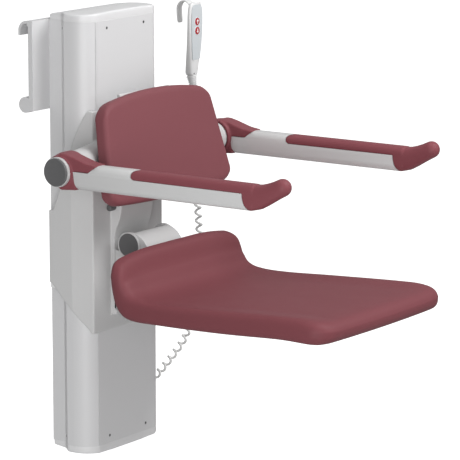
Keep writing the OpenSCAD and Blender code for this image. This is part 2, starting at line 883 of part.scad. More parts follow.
// A ring of the backrest cushion at x: its back from foot to top, then the front down again
function back_ring(x) = let (
    half = back_w / 2,
    a = abs(x),
    top_in = 20 * pow(a / half, 2) + corner(a, half, 42),
    foot_in = 10 * pow(a / half, 2) + corner(a, half, 36),
    edge = sqrt(max(0.12, 1 - pow(max(0, a - half + 15) / 16, 2))),
    marks = [0, 0.015, 0.06, 0.16, 0.34, 0.5, 0.66, 0.82, 0.93, 0.985, 1],
    full = [0.34, 0.7, 0.94, 1, 1, 1, 1, 1, 0.94, 0.7, 0.34],
    mid = back_t / 2
) concat(
    [for (i = [0 : len(marks) - 1]) back_point(x, marks[i], foot_in, top_in, mid - mid * full[i] * edge)],
    [for (i = [len(marks) - 1 : -1 : 0]) back_point(x, marks[i], foot_in, top_in, mid + mid * full[i] * edge)]
);
function back_point(x, v, foot_in, top_in, d) = let (
    h = foot_in + v * (back_h - foot_in - top_in),
    narrow = 1 - (1 - back_top_w / back_w) * h / back_h,
    y = -d - soft_fit
) [x * narrow, -back_foot_y + y * cos(recline) + h * sin(recline),
    -back_foot_z + h * cos(recline) - y * sin(recline)];
slice_count = 8;
function slices(half) = [for (i = [-slice_count : slice_count]) half * sin(90 * i / slice_count)];

module backrest_cushion() {
    color(soft_red) skin([for (x = slices(back_w / 2)) back_ring(x)]);
}

// Two round knobs beside the foot of the spine's upper part
module back_knobs() {
    knob_r = 8.5;
    color(cap_grey) difference() {
        both_sides() translate([0, shell_y - knob_r, -seat_axis_z + 79])
            x_cylinder(knob_r, spine_root_w / 2 - 4, spine_root_w / 2 + 17);
        spine_solid();
    }
}

module seat_knuckle() {
    color(shell_white) difference() {
        union() {
            translate(seat_axis) x_cylinder(knuckle_r, -spine_half, spine_half);
            translate([-spine_half, -hinge_y, -seat_axis_z - 60])
                cube([spine_w, hinge_y + spine_low_y, 60 - 17]);
        }
        translate(seat_axis) x_cylinder(seat_pin_r, -spine_half - 1, spine_half + 1);
    }
}

module seat_pin() {
    w = spine_half + side_fit + ear_t;
    color(steel) translate(seat_axis) x_cylinder(seat_pin_r, -w, w);
}

// Side view of the bracket under the seat, drawn as [y, z] from the hinge
module bracket_side() {
    circle(r = ear_r);
    intersection() {
        translate([0, -hood_low]) circle(r = hood_r);
        translate([-200, -70]) square([200, 170]);
    }
    polygon(concat([[18, -20], [-hood_r, -20]],
        [for (i = [under_first : under_ears]) under_out(i, soft_fit + seat_plate_t)],
        [[-10, -124], [34, -leg_low], [leg_stop, -leg_low], [leg_stop, -leg_low + 26]]));
}

module seat_bracket() {
    x1 = spine_half + side_fit;
    color(shell_white) translate(seat_axis) difference() {
        union() {
            both_sides() translate([x1 + ear_t / 2, 0, 0]) side_view(ear_t) bracket_side();
            side_view(2 * x1 + 1) {
                difference() {
                    intersection() {
                        translate([0, -hood_low]) circle(r = hood_r);
                        translate([-200, -60]) square([200, 170]);
                    }
                    translate([0, -hood_low]) circle(r = hood_r - hood_t);
                    translate([-12, -100]) square([40, 200]);
                }
                translate([-hood_r, -100]) square([6, 68]);
            }
        }
        x_cylinder(seat_pin_r + run_fit, -x1 - ear_t - 1, x1 + ear_t + 1);
    }
}

module seat_caps() {
    w = spine_half + side_fit + ear_t;
    color(cap_grey) translate(seat_axis) both_sides() x_cylinder(seat_cap_r, w, w + 4);
}

module seat_stops() {
    x1 = spine_half + side_fit;
    color(slide_black) translate(seat_axis) both_sides()
        translate([x1, leg_stop, -leg_low]) cube([ear_t, stop_t - side_fit, 24]);
}

// Side view of the seat cushion: the sitting side and the under side, from the lip's top to the nose.
// Each point is [distance in front of the hinge, height above the hinge].
nose = seat_reach;
sit = -seat_drop;
seat_top_side = spline([
    [lip_back + 10, lip_rise], [lip_back + lip_t * 0.72, lip_rise - 10], [lip_back + lip_t, lip_rise - 42],
    [lip_back + lip_t + 7, sit + 38], [lip_back + lip_t + 24, sit + 13], [lip_back + lip_t + 60, sit],
    [lip_back + lip_t + 140, sit - 2], [nose - 270, sit + 3], [nose - 120, sit + 9], [nose - 34, sit + 7],
    [nose - 9, sit - 1], [nose, sit - 10]
], 2);
seat_under_side = spline([
    [lip_back + 5, lip_rise - 4], [lip_back, lip_rise - 30], [lip_back, sit + 58], [lip_back + 3, sit + 24],
    [lip_back + 14, sit - 18], [lip_back + 48, sit - seat_back_t + 2], [lip_back + 140, sit - seat_back_t],
    [nose - 270, sit - seat_front_t - 3], [nose - 120, sit - seat_front_t + 4],
    [nose - 34, sit - seat_front_t + 7], [nose - 9, sit - 24], [nose - 1, sit - 17]
], 2);
lip_flat = 80;       // half-width over which the lip is level
// A ring of the seat cushion at x
function seat_ring(x) = let (
    half = seat_w / 2,
    a = abs(x),
    lip_in = 16 * pow(max(0, a - lip_flat) / (half - lip_flat), 2) + corner(a, half, 34),
    nose_in = 9 * pow(a / half, 2) + corner(a, half, 45),
    back_in = corner(a, half, 32),
    edge = sqrt(max(0.3, 1 - pow(max(0, a - half + 12) / 14, 2))),
    last = len(seat_top_side) - 1,
    a_side = [for (p = seat_top_side) seat_point(p, lip_in, nose_in, back_in * pow(raised(p), 3))],
    b_side = [for (p = seat_under_side) seat_point(p, lip_in, nose_in, back_in)]
) concat(
    [for (i = [0 : last]) seat_place(x, (a_side[i] + b_side[i]) / 2 + (a_side[i] - b_side[i]) / 2 * edge)],
    [for (i = [last : -1 : 0]) seat_place(x, (a_side[i] + b_side[i]) / 2 - (a_side[i] - b_side[i]) / 2 * edge)]
);
function raised(p) = clamp((p[1] - sit) / (lip_rise - sit));
function seat_point(p, lip_in, nose_in, back_in) = let (s = (p[0] - lip_back) / (nose - lip_back))
    [p[0] + back_in * pow(1 - s, 4) - nose_in * s * s, p[1] - lip_in * raised(p)];
function seat_place(x, p) = let (s = (p[0] - lip_back) / (nose - lip_back))
    [x * (1 + (seat_front_w / seat_w - 1) * (1 - pow(1 - s, 4))), -hinge_y - p[0], -seat_axis_z + p[1]];

module seat_cushion() {
    color(soft_red) skin([for (x = slices(seat_w / 2)) seat_ring(x)]);
}

// Steel plate that follows the cushion's back and under side and joins it to the bracket
under_first = 4;     // first and last mark of the under side that the plate follows
under_last = 14;
under_ears = 9;      // last mark that the bracket's ears reach
function under_out(i, d) = let (
    t = unit(seat_under_side[i + 1] - seat_under_side[i - 1]),
    p = seat_under_side[i] + [t[1], -t[0]] * d
) [-p[0], p[1]];
module seat_plate() {
    marks = [under_first : under_last];
    color(steel) translate(seat_axis) side_view(2 * lip_flat) polygon(concat(
        [for (i = marks) under_out(i, soft_fit)],
        [for (i = [under_last : -1 : under_first]) under_out(i, soft_fit + seat_plate_t)]
    ));
}

// The arm's soft skin with its inside: a barrel round the hub that runs out along the tube
module skin_solid() {
    translate([0, -hinge_y, -arm_axis_z]) {
        x_cylinder(hub_end_r, -hub_out + 4, -hub_out + 4 + hub_taper, hub_r);
        x_cylinder(hub_r, -hub_out + 4 + hub_taper, -hub_in - 4);
        translate([-arm_x, 0, 0]) side_view(tube_w) polygon([
            [0, hub_r], [-15, hub_r - 1], [-32, hub_r - 5], [-50, 30], [-70, 24], [-98, tube_top_z],
            [-77, tube_top_z - 17], [-35, tube_top_z - 17], [-37, 2], [-40, -20],
            [-46, -(tube_h - tube_top_z)], [0, -hub_r]
        ]);
    }
}

module arm_hub_left() {
    color(shell_white) translate([0, -hinge_y, -arm_axis_z]) difference() {
        x_cylinder(hub_core_r, -hub_out, -hub_in);
        x_cylinder(arm_pin_r + run_fit, -hub_out - 1, -hub_in + 1);
    }
}

module arm_skin_left() {
    color(soft_red) difference() {
        skin_solid();
        translate([0, -hinge_y, -arm_axis_z]) x_cylinder(hub_core_r, -hub_out - 1, -hub_in + 1);
    }
}

module arm_cap_left() {
    color(cap_grey) translate([0, -hinge_y, -arm_axis_z]) x_cylinder(cap_r, -hub_out - arm_cap_t, -hub_out);
}

// Section of the arm tube, drawn as [x, z], with rounded corners
module tube_section(t = 0) {
    w = tube_w / 2 - t;
    h = tube_h - 2 * t;
    r = 16 - t;
    translate([0, tube_top_z - t - h]) {
        for (x = [-w + r, w - r], z = [r, h - r]) translate([x, z]) circle(r = r);
        translate([-w, r]) square([2 * w, h - 2 * r]);
        translate([-w + r, 0]) square([2 * w - 2 * r, h]);
    }
}

// Extrudes a front view, drawn as [x, z], from one distance in front of the hinge to another
module along_arm(y1, y2) {
    translate([-arm_x, -hinge_y - y1, -arm_axis_z]) rotate([90, 0, 0]) linear_extrude(y2 - y1) children();
}

module arm_tube_left() {
    color(shell_white) difference() {
        along_arm(20, tube_len + 16) tube_section();
        along_arm(0, tube_len + 17) tube_section(4);
        skin_solid();
        on_arm() pad_side();
        on_arm() grip_front();
    }
}

// Extrudes a side view, drawn as [y, z] from the hinge, over the arm's width
module on_arm() {
    translate([-arm_x, -hinge_y, -arm_axis_z]) side_view(tube_w + 2) children();
}

// Side view of the soft pad on the tube, with a round start
module pad_side() {
    r = pad_depth / 2;
    translate([-pad_start - r, tube_top_z - r]) circle(r = r);
    translate([-tube_len - 30, tube_top_z - pad_depth])
        square([tube_len + 30 - pad_start - r, pad_depth + 10]);
}

// Side view of all that lies in front of the curved end of the tube
module grip_front() {
    r = 55;
    translate([-tube_len - r, tube_top_z - pad_depth]) rotate(150) circle(r = r);
    translate([-arm_len - 20, tube_top_z - pad_depth - 60]) square([arm_len + 2 - tube_len, 120]);
}

// Side view of the grip's straight part, which turns up at its lower front
module grip_root() {
    low = tube_top_z - tube_h;
    polygon([
        [-tube_len - 50, tube_top_z], [-tube_len - 52, low + 34], [-tube_len - 38, low + 14],
        [-tube_len - 28, low + 4], [-tube_len - 17, low], [-tube_len + 4, low], [-tube_len + 4, tube_top_z]
    ]);
}

module arm_pad_left() {
    tip = [-arm_len + grip_r, 18];
    foot = tip + 60 * [cos(grip_rise), -sin(grip_rise)];
    color(soft_red) {
        intersection() {
            along_arm(pad_start, tube_len + 10) tube_section();
            on_arm() pad_side();
        }
        intersection() {
            along_arm(tube_len - 4, arm_len) tube_section();
            on_arm() grip_root();
            on_arm() grip_front();
        }
        translate([-arm_x, -hinge_y, -arm_axis_z]) intersection() {
            side_view(2 * grip_r) polygon(concat(
                [for (q = bend(grip_r, 90 - grip_rise, 270 - grip_rise)) tip + q],
                [for (q = bend(grip_r, 270 - grip_rise, 450 - grip_rise)) foot + q]
            ));
            translate([0, foot[0], foot[1]]) rotate([90 - grip_rise, 0, 0]) translate([0, 0, -40])
                cylinder(r = grip_r + 1.5, h = 140);
            plan(-60, 60) translate([0, tip[0]])
                polygon(concat(bend(grip_r + 0.6, 180, 360), [[grip_r + 0.6, 90], [-grip_r - 0.6, 90]]));
        }
    }
}

module arm_hub_right() {
    mirror([1, 0, 0]) arm_hub_left();
}

module arm_skin_right() {
    mirror([1, 0, 0]) arm_skin_left();
}

module arm_cap_right() {
    mirror([1, 0, 0]) arm_cap_left();
}

module arm_tube_right() {
    mirror([1, 0, 0]) arm_tube_left();
}

module arm_pad_right() {
    mirror([1, 0, 0]) arm_pad_left();
}

column_profile();
front_cover();
top_cap();
bottom_cap();
cover_screws();
groove_screws();
top_bracket();
bottom_bracket();
wall_hanger();
lock_rod();
wall_pad();
actuator_housing();
actuator_tube();
control_box();
cord_socket();
handset_front();
handset_back();
handset_hook();
handset_label();
handset_screw();
handset_board();
handset_strain_relief();
curly_cord();
button_up();
button_down();
carriage_shell();
carriage_plate();
drive_blades();
sled_plate();
side_glides();
sled_glides();
actuator_rod();
rod_bolt();
arm_carrier_left();
arm_carrier_right();
arm_pin_left();
arm_pin_right();
back_bracket();
back_plate();
backrest_cushion();
back_knobs();
seat_knuckle();
seat_pin();
seat_cushion();
seat_plate();
seat_bracket();
seat_caps();
seat_stops();
arm_hub_left();
arm_skin_left();
arm_cap_left();
arm_tube_left();
arm_pad_left();
arm_hub_right();
arm_skin_right();
arm_cap_right();
arm_tube_right();
arm_pad_right();
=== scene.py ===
import math

import bmesh
import bpy
import numpy as np
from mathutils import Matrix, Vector


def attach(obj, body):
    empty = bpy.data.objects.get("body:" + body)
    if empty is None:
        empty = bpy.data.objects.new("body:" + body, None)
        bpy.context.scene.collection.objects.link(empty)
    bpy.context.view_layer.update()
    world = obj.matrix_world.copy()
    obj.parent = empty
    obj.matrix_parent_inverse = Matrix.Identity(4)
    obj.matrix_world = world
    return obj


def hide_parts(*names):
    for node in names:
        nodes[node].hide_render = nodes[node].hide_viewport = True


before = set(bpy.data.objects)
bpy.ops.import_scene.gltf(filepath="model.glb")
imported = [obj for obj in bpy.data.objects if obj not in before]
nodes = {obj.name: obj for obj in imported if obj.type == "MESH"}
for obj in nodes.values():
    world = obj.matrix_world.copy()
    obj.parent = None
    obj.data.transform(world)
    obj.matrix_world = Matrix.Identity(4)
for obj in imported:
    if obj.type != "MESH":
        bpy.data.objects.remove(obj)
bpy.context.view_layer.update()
MM = 0.001
SIDES = ((-1, "left"), (1, "right"))


# Camera
CAMERA_SPOT = (-5.4374, -4.2180, 0.8199)
CAMERA_DOWN, CAMERA_TURN = 0.18863, -0.96504
LENS, SENSOR_W = 237.5, 36.0


def place_camera():
    """The camera of the photograph: left of the seat, a little above it, with a long lens."""
    data = bpy.data.cameras.new("photo_camera")
    data.sensor_width = SENSOR_W
    data.lens = LENS
    data.clip_end = 60.0
    camera = bpy.data.objects.new("photo_camera", data)
    camera.location = CAMERA_SPOT
    camera.rotation_euler = (math.pi / 2 - CAMERA_DOWN, 0.0, CAMERA_TURN)
    bpy.context.scene.collection.objects.link(camera)
    bpy.context.scene.camera = camera


place_camera()


# Shared effects
def new_group(name, inputs, outputs):
    """An empty shader node group with named sockets."""
    group = bpy.data.node_groups.new(name, "ShaderNodeTree")
    for label, kind, value in inputs:
        socket = group.interface.new_socket(label, in_out="INPUT", socket_type=kind)
        if value is not None:
            socket.default_value = value
    for label, kind in outputs:
        group.interface.new_socket(label, in_out="OUTPUT", socket_type=kind)
    return group, group.nodes.new("NodeGroupInput"), group.nodes.new("NodeGroupOutput")


def add_node(tree, kind, **settings):
    """A node with its settings; a setting named for an input socket sets that socket."""
    made = tree.nodes.new(kind)
    for key, value in settings.items():
        if hasattr(made, key):
            setattr(made, key, value)
        else:
            made.inputs[key.replace("_", " ").title()].default_value = value
    return made


def wire(tree, source, output, target, socket):
    """Joins an output of one node to an input of another."""
    tree.links.new(source.outputs[output], target.inputs[socket])


def set_inputs(node, values):
    """Sets some inputs of a node by their names."""
    for label, value in values.items():
        node.inputs[label].default_value = value


def mix_colour(tree):
    """A node that mixes two colours."""
    made = tree.nodes.new("ShaderNodeMix")
    made.data_type = "RGBA"
    return made


def tone_group():
    """Slow drift of a finish's tone over a surface, with faint specks."""
    group, start, end = new_group(
        "tone_variation",
        [("Color", "NodeSocketColor", (0.5, 0.5, 0.5, 1)), ("Amount", "NodeSocketFloat", 0.05),
         ("Scale", "NodeSocketFloat", 6.0), ("Specks", "NodeSocketFloat", 0.02)],
        [("Color", "NodeSocketColor")])
    place = add_node(group, "ShaderNodeTexCoord")
    cloud = add_node(group, "ShaderNodeTexNoise", detail=4.0, roughness=0.55)
    speck = add_node(group, "ShaderNodeTexNoise", scale=900.0, detail=2.0)
    wire(group, place, "Object", cloud, "Vector")
    wire(group, place, "Object", speck, "Vector")
    wire(group, start, "Scale", cloud, "Scale")
    both = []
    for source, amount in ((cloud, "Amount"), (speck, "Specks")):
        centred = add_node(group, "ShaderNodeMath", operation="SUBTRACT")
        centred.inputs[1].default_value = 0.5
        wire(group, source, "Fac", centred, 0)
        scaled = add_node(group, "ShaderNodeMath", operation="MULTIPLY")
        wire(group, centred, 0, scaled, 0)
        wire(group, start, amount, scaled, 1)
        both.append(scaled)
    total = add_node(group, "ShaderNodeMath", operation="ADD")
    wire(group, both[0], 0, total, 0)
    wire(group, both[1], 0, total, 1)
    factor = add_node(group, "ShaderNodeMath", operation="ADD")
    factor.inputs[1].default_value = 1.0
    wire(group, total, 0, factor, 0)
    shade = add_node(group, "ShaderNodeVectorMath", operation="SCALE")
    wire(group, start, "Color", shade, 0)
    wire(group, factor, 0, shade, "Scale")
    wire(group, shade, 0, end, "Color")
    return group


# Share of the coarse texture in the grain's height
COARSE_SHARE = 0.6


def grain_group():
    """Fine surface relief: orange peel of a coating, or the pores of a moulded skin."""
    group, start, end = new_group(
        "surface_grain",
        [("Fine", "NodeSocketFloat", 900.0), ("Coarse", "NodeSocketFloat", 60.0),
         ("Pores", "NodeSocketFloat", 0.3)],
        [("Height", "NodeSocketFloat")])
    place = add_node(group, "ShaderNodeTexCoord")
    fine = add_node(group, "ShaderNodeTexNoise", detail=3.0, roughness=0.6)
    coarse = add_node(group, "ShaderNodeTexNoise", detail=2.0)
    pores = add_node(group, "ShaderNodeTexVoronoi", feature="F1")
    for texture, label in ((fine, "Fine"), (coarse, "Coarse"), (pores, "Fine")):
        wire(group, place, "Object", texture, "Vector")
        wire(group, start, label, texture, "Scale")
    mixed = add_node(group, "ShaderNodeMath", operation="MULTIPLY_ADD")
    wire(group, coarse, "Fac", mixed, 0)
    mixed.inputs[1].default_value = COARSE_SHARE
    wire(group, fine, "Fac", mixed, 2)
    deep = add_node(group, "ShaderNodeMath", operation="MULTIPLY_ADD")
    wire(group, pores, "Distance", deep, 0)
    wire(group, start, "Pores", deep, 1)
    wire(group, mixed, 0, deep, 2)
    wire(group, deep, 0, end, "Height")
    return group


# How far the rounded normal agrees with the flat one where an edge starts and where it is full
EDGE_STARTS, EDGE_FULL = 0.995, 0.86
# Noise levels between which a worn edge breaks up
BREAKUP_LOW, BREAKUP_HIGH = 0.42, 0.62


def wear_group():
    """Mask of the edges that hands, cloths and the wall rub, broken up by noise."""
    group, start, end = new_group(
        "edge_wear",
        [("Width", "NodeSocketFloat", 0.0015), ("Breakup", "NodeSocketFloat", 40.0),
         ("Amount", "NodeSocketFloat", 0.5)],
        [("Mask", "NodeSocketFloat")])
    rounded = add_node(group, "ShaderNodeBevel", samples=4)
    wire(group, start, "Width", rounded, "Radius")
    flat = add_node(group, "ShaderNodeNewGeometry")
    dot = add_node(group, "ShaderNodeVectorMath", operation="DOT_PRODUCT")
    wire(group, rounded, "Normal", dot, 0)
    wire(group, flat, "Normal", dot, 1)
    edge = add_node(group, "ShaderNodeMapRange")
    set_inputs(edge, {"From Min": EDGE_STARTS, "From Max": EDGE_FULL})
    wire(group, dot, "Value", edge, "Value")
    place = add_node(group, "ShaderNodeTexCoord")
    rough = add_node(group, "ShaderNodeTexNoise", detail=5.0, roughness=0.7)
    wire(group, place, "Object", rough, "Vector")
    wire(group, start, "Breakup", rough, "Scale")
    broken = add_node(group, "ShaderNodeMapRange")
    set_inputs(broken, {"From Min": BREAKUP_LOW, "From Max": BREAKUP_HIGH})
    wire(group, rough, "Fac", broken, "Value")
    cut = add_node(group, "ShaderNodeMath", operation="MULTIPLY")
    wire(group, edge, "Result", cut, 0)
    wire(group, broken, "Result", cut, 1)
    held = add_node(group, "ShaderNodeMath", operation="MULTIPLY", use_clamp=True)
    wire(group, cut, 0, held, 0)
    wire(group, start, "Amount", held, 1)
    wire(group, held, 0, end, "Mask")
    return group


# Cloths and hands wipe up and down, so the marks are drawn out along z
WIPE_STRETCH = (1.0, 1.0, 0.35)


def smudge_group():
    """Faint hand marks and wiped patches that change the sheen."""
    group, start, end = new_group(
        "wipe_marks",
        [("Roughness", "NodeSocketFloat", 0.4), ("Spread", "NodeSocketFloat", 0.1),
         ("Scale", "NodeSocketFloat", 14.0)],
        [("Roughness", "NodeSocketFloat")])
    place = add_node(group, "ShaderNodeTexCoord")
    stretch = add_node(group, "ShaderNodeMapping")
    stretch.inputs["Scale"].default_value = WIPE_STRETCH
    cloud = add_node(group, "ShaderNodeTexNoise", detail=5.0, roughness=0.65, distortion=0.6)
    wire(group, place, "Object", stretch, "Vector")
    wire(group, stretch, "Vector", cloud, "Vector")
    wire(group, start, "Scale", cloud, "Scale")
    centred = add_node(group, "ShaderNodeMath", operation="SUBTRACT")
    centred.inputs[1].default_value = 0.5
    wire(group, cloud, "Fac", centred, 0)
    swing = add_node(group, "ShaderNodeMath", operation="MULTIPLY_ADD", use_clamp=True)
    wire(group, centred, 0, swing, 0)
    wire(group, start, "Spread", swing, 1)
    wire(group, start, "Roughness", swing, 2)
    wire(group, swing, 0, end, "Roughness")
    return group


TONE, GRAIN, WEAR, SMUDGE = tone_group(), grain_group(), wear_group(), smudge_group()


# Finishes
def linear(rgb):
    """Display values from 0 to 255 as linear light."""
    out = []
    for v in rgb:
        c = v / 255.0
        out.append(c / 12.92 if c <= 0.04045 else ((c + 0.055) / 1.055) ** 2.4)
    return (*out, 1.0)


def finish_of(name, colour, worn, roughness=0.4, spread=0.1, tone=0.05, tone_scale=6.0,
              specks=0.02, fine=900.0, coarse=60.0, pores=0.2, relief=0.00006,
              wear=0.3, wear_width=0.0012, metallic=0.0, coat=0.0, soft_edge=0.0, shine=0.5):
    """A procedural finish made of the shared effects; its two colours are display values."""
    material = bpy.data.materials.new(name)
    material.use_nodes = True
    tree = material.node_tree
    shader = tree.nodes["Principled BSDF"]
    set_inputs(shader, {"Metallic": metallic, "Coat Weight": coat, "Specular IOR Level": shine})
    toned = add_node(tree, "ShaderNodeGroup", node_tree=TONE)
    set_inputs(toned, {"Color": linear(colour), "Amount": tone, "Scale": tone_scale,
                       "Specks": specks})
    rubbed = add_node(tree, "ShaderNodeGroup", node_tree=WEAR)
    set_inputs(rubbed, {"Amount": wear, "Width": wear_width})
    blend = mix_colour(tree)
    blend.inputs["B"].default_value = linear(worn)
    wire(tree, rubbed, "Mask", blend, "Factor")
    wire(tree, toned, "Color", blend, "A")
    wire(tree, blend, "Result", shader, "Base Color")
    marks = add_node(tree, "ShaderNodeGroup", node_tree=SMUDGE)
    set_inputs(marks, {"Roughness": roughness, "Spread": spread})
    wire(tree, marks, "Roughness", shader, "Roughness")
    grain = add_node(tree, "ShaderNodeGroup", node_tree=GRAIN)
    set_inputs(grain, {"Fine": fine, "Coarse": coarse, "Pores": pores})
    bump = tree.nodes.new("ShaderNodeBump")
    set_inputs(bump, {"Strength": 1.0, "Distance": relief})
    wire(tree, grain, "Height", bump, "Height")
    if soft_edge:
        rounded = add_node(tree, "ShaderNodeBevel", samples=6)
        rounded.inputs["Radius"].default_value = soft_edge
        wire(tree, rounded, "Normal", bump, "Normal")
    wire(tree, bump, "Normal", shader, "Normal")
    return material


WHITE = {
    "coat": finish_of("white_coating", (198, 198, 198), (176, 176, 176), roughness=0.42,
                      spread=0.12, tone=0.035, fine=700.0, coarse=160.0, relief=0.00005,
                      wear=0.35),
    "profile": finish_of("white_profile", (209, 209, 210), (186, 186, 187), roughness=0.40,
                         spread=0.10, tone=0.03, fine=800.0, coarse=120.0, relief=0.00004,
                         wear=0.3, soft_edge=0.0008),
    "cap": finish_of("white_end_cap", (218, 218, 219), (192, 192, 193), roughness=0.38,
                     spread=0.1, tone=0.03, fine=1200.0, coarse=150.0, relief=0.00003, wear=0.2),
    "plastic": finish_of("white_plastic", (226, 226, 226), (200, 200, 200), roughness=0.34,
                         spread=0.12, tone=0.03, fine=1500.0, coarse=200.0, relief=0.00003,
                         wear=0.25),
    "cord": finish_of("cord_jacket", (214, 214, 213), (165, 166, 168), roughness=0.45,
                      spread=0.1, tone=0.05, fine=1600.0, coarse=300.0, relief=0.00003, wear=0.0),
}
FOAM = dict(roughness=0.55, spread=0.10, tone=0.07, tone_scale=5.0, specks=0.16, fine=1100.0,
            coarse=90.0, pores=0.9, relief=0.00016, wear=0.3, wear_width=0.006, shine=0.2)
MAROON = {
    "seat": finish_of("seat_skin_foam", (120, 65, 71), (138, 88, 93), **FOAM),
    "back": finish_of("backrest_skin_foam", (125, 72, 78), (142, 94, 99), **FOAM),
    "arm": finish_of("arm_soft_skin", (128, 68, 75), (146, 92, 97), roughness=0.52, spread=0.12,
                     tone=0.06, specks=0.12, fine=1300.0, coarse=110.0, pores=0.8,
                     relief=0.00012, wear=0.3, wear_width=0.004, shine=0.25),
}
DARK = {
    "cap": finish_of("dark_cap", (92, 92, 93), (104, 104, 104), roughness=0.45, spread=0.12,
                     tone=0.06, specks=0.08, fine=1400.0, coarse=160.0, relief=0.00006, wear=0.4),
    "plastic": finish_of("dark_plastic", (62, 62, 64), (90, 90, 90), roughness=0.5, tone=0.06,
                         specks=0.08, fine=1400.0, relief=0.00006, soft_edge=0.0008),
    "rubber": finish_of("black_rubber", (38, 38, 40), (60, 60, 60), roughness=0.7, tone=0.08,
                        specks=0.1, fine=1200.0, relief=0.0001, wear=0.2),
    "glide": finish_of("black_glide", (34, 34, 36), (70, 70, 70), roughness=0.38, tone=0.05,
                       fine=1200.0, relief=0.00004, wear=0.4),
    "screw": finish_of("dark_screw", (84, 84, 86), (130, 130, 132), roughness=0.36, tone=0.08,
                       fine=1800.0, relief=0.00003, metallic=0.7, wear=0.6, wear_width=0.0004),
}
METAL = {
    "zinc": finish_of("zinc_steel", (168, 170, 174), (205, 206, 208), roughness=0.34, spread=0.2,
                      tone=0.1, tone_scale=40.0, fine=1400.0, coarse=220.0, relief=0.00004,
                      metallic=0.9, wear=0.5, soft_edge=0.0006),
    "bright": finish_of("bright_screw", (190, 191, 194), (220, 220, 222), roughness=0.25,
                        spread=0.15, tone=0.05, fine=1800.0, relief=0.00002, metallic=0.95,
                        wear=0.4, wear_width=0.0004),
}
COLOUR = {
    "label": finish_of("grey_label", (202, 207, 210), (172, 176, 180), roughness=0.4, spread=0.12,
                       tone=0.03, fine=2200.0, relief=0.00001, wear=0.1),
    "red": finish_of("red_button", (168, 22, 34), (190, 60, 70), roughness=0.42, spread=0.12,
                     tone=0.05, fine=1800.0, relief=0.00003, wear=0.35, wear_width=0.0006),
    "arrow": finish_of("white_arrow", (235, 232, 232), (210, 205, 205), roughness=0.4, tone=0.03,
                       fine=2000.0, relief=0.00001, wear=0.0),
    "ring": finish_of("pale_ring", (222, 230, 232), (200, 206, 208), roughness=0.4, tone=0.03,
                      fine=2000.0, relief=0.00001, wear=0.0),
    "board": finish_of("circuit_board", (46, 104, 70), (90, 120, 90), roughness=0.35, tone=0.12,
                       tone_scale=90.0, fine=1500.0, relief=0.00003, coat=0.3),
}


# Making pieces
def paint(piece, material):
    """Gives a piece or a CAD node one finish."""
    piece.data.materials.clear()
    piece.data.materials.append(material)


def smooth(piece, degrees=None):
    """Smooth shading, with the edges sharper than an angle kept crisp."""
    piece.data.polygons.foreach_set("use_smooth", [True] * len(piece.data.polygons))
    if degrees is not None:
        piece.data.set_sharp_from_angle(angle=math.radians(degrees))
    piece.data.update()


def piece_from(name, verts, faces, material, body, stands_for=()):
    """A mesh piece from points in millimetres that rides on a body."""
    mesh = bpy.data.meshes.new(name)
    mesh.from_pydata([tuple(c * MM for c in v) for v in verts], [], faces)
    mesh.validate()
    tidy = bmesh.new()
    tidy.from_mesh(mesh)
    bmesh.ops.remove_doubles(tidy, verts=tidy.verts, dist=SAME_POINT)
    bmesh.ops.recalc_face_normals(tidy, faces=tidy.faces)
    tidy.to_mesh(mesh)
    tidy.free()
    piece = bpy.data.objects.new(name, mesh)
    bpy.context.scene.collection.objects.link(piece)
    paint(piece, material)
    settle(piece, body, stands_for)
    return piece


def settle(piece, body, stands_for=()):
    """Gives a piece its body and hides the CAD nodes that it stands for."""
    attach(piece, body)
    if stands_for:
        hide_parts(*stands_for)


def loft(rings, closed=True):
    """Points and faces of a skin over rings of equal length, with both ends closed."""
    n = len(rings[0])
    verts = [p for ring in rings for p in ring]
    faces = []
    for i in range(len(rings) - 1):
        for j in range(n):
            k = (j + 1) % n
            faces.append((i * n + j, i * n + k, (i + 1) * n + k, (i + 1) * n + j))
    if closed:
        faces.append(tuple(range(n)))
        faces.append(tuple(range(len(verts) - n, len(verts))))
    return verts, faces


# Edges sharper than this, in degrees, stay crisp on turned pieces and on panels
TURNED_CRISP, PANEL_CRISP = 28, 34
# Two points of a piece nearer than this are one point, in metres
SAME_POINT = 1e-6


def lathe(name, profile, centre, axis, material, body, stands_for=(), steps=64, ring=False):
    """A turned piece or ring: its profile is (distance along the axis, radius) in millimetres."""
    direction = Vector(axis).normalized()
    side = direction.orthogonal().normalized()
    other = direction.cross(side)
    rings = []
    for along, radius in profile + profile[:1] * ring:
        base = Vector(centre) + direction * along
        rings.append([base + (side * math.cos(a) + other * math.sin(a)) * radius
                      for a in (2 * math.pi * k / steps for k in range(steps))])
    verts, faces = loft(rings, closed=not ring)
    piece = piece_from(name, verts, faces, material, body, stands_for)
    smooth(piece, TURNED_CRISP)


def copy_of(names, name):
    """One new mesh with the shapes of some CAD nodes."""
    joined = bmesh.new()
    for n in names:
        joined.from_mesh(nodes[n].data)
    bmesh.ops.remove_doubles(joined, verts=joined.verts, dist=SAME_POINT)
    mesh = bpy.data.meshes.new(name)
    joined.to_mesh(mesh)
    joined.free()
    piece = bpy.data.objects.new(name, mesh)
    bpy.context.scene.collection.objects.link(piece)
    return piece


def apply_modifiers(piece):
    """Turns a piece and its modifiers into one plain mesh."""
    graph = bpy.context.evaluated_depsgraph_get()
    graph.update()
    made = bpy.data.meshes.new_from_object(piece.evaluated_get(graph), depsgraph=graph)
    piece.modifiers.clear()
    piece.data = made


# A lapped rim shrinks to this share of its width, so it goes inside the piece it sits on
TUCK = 0.998


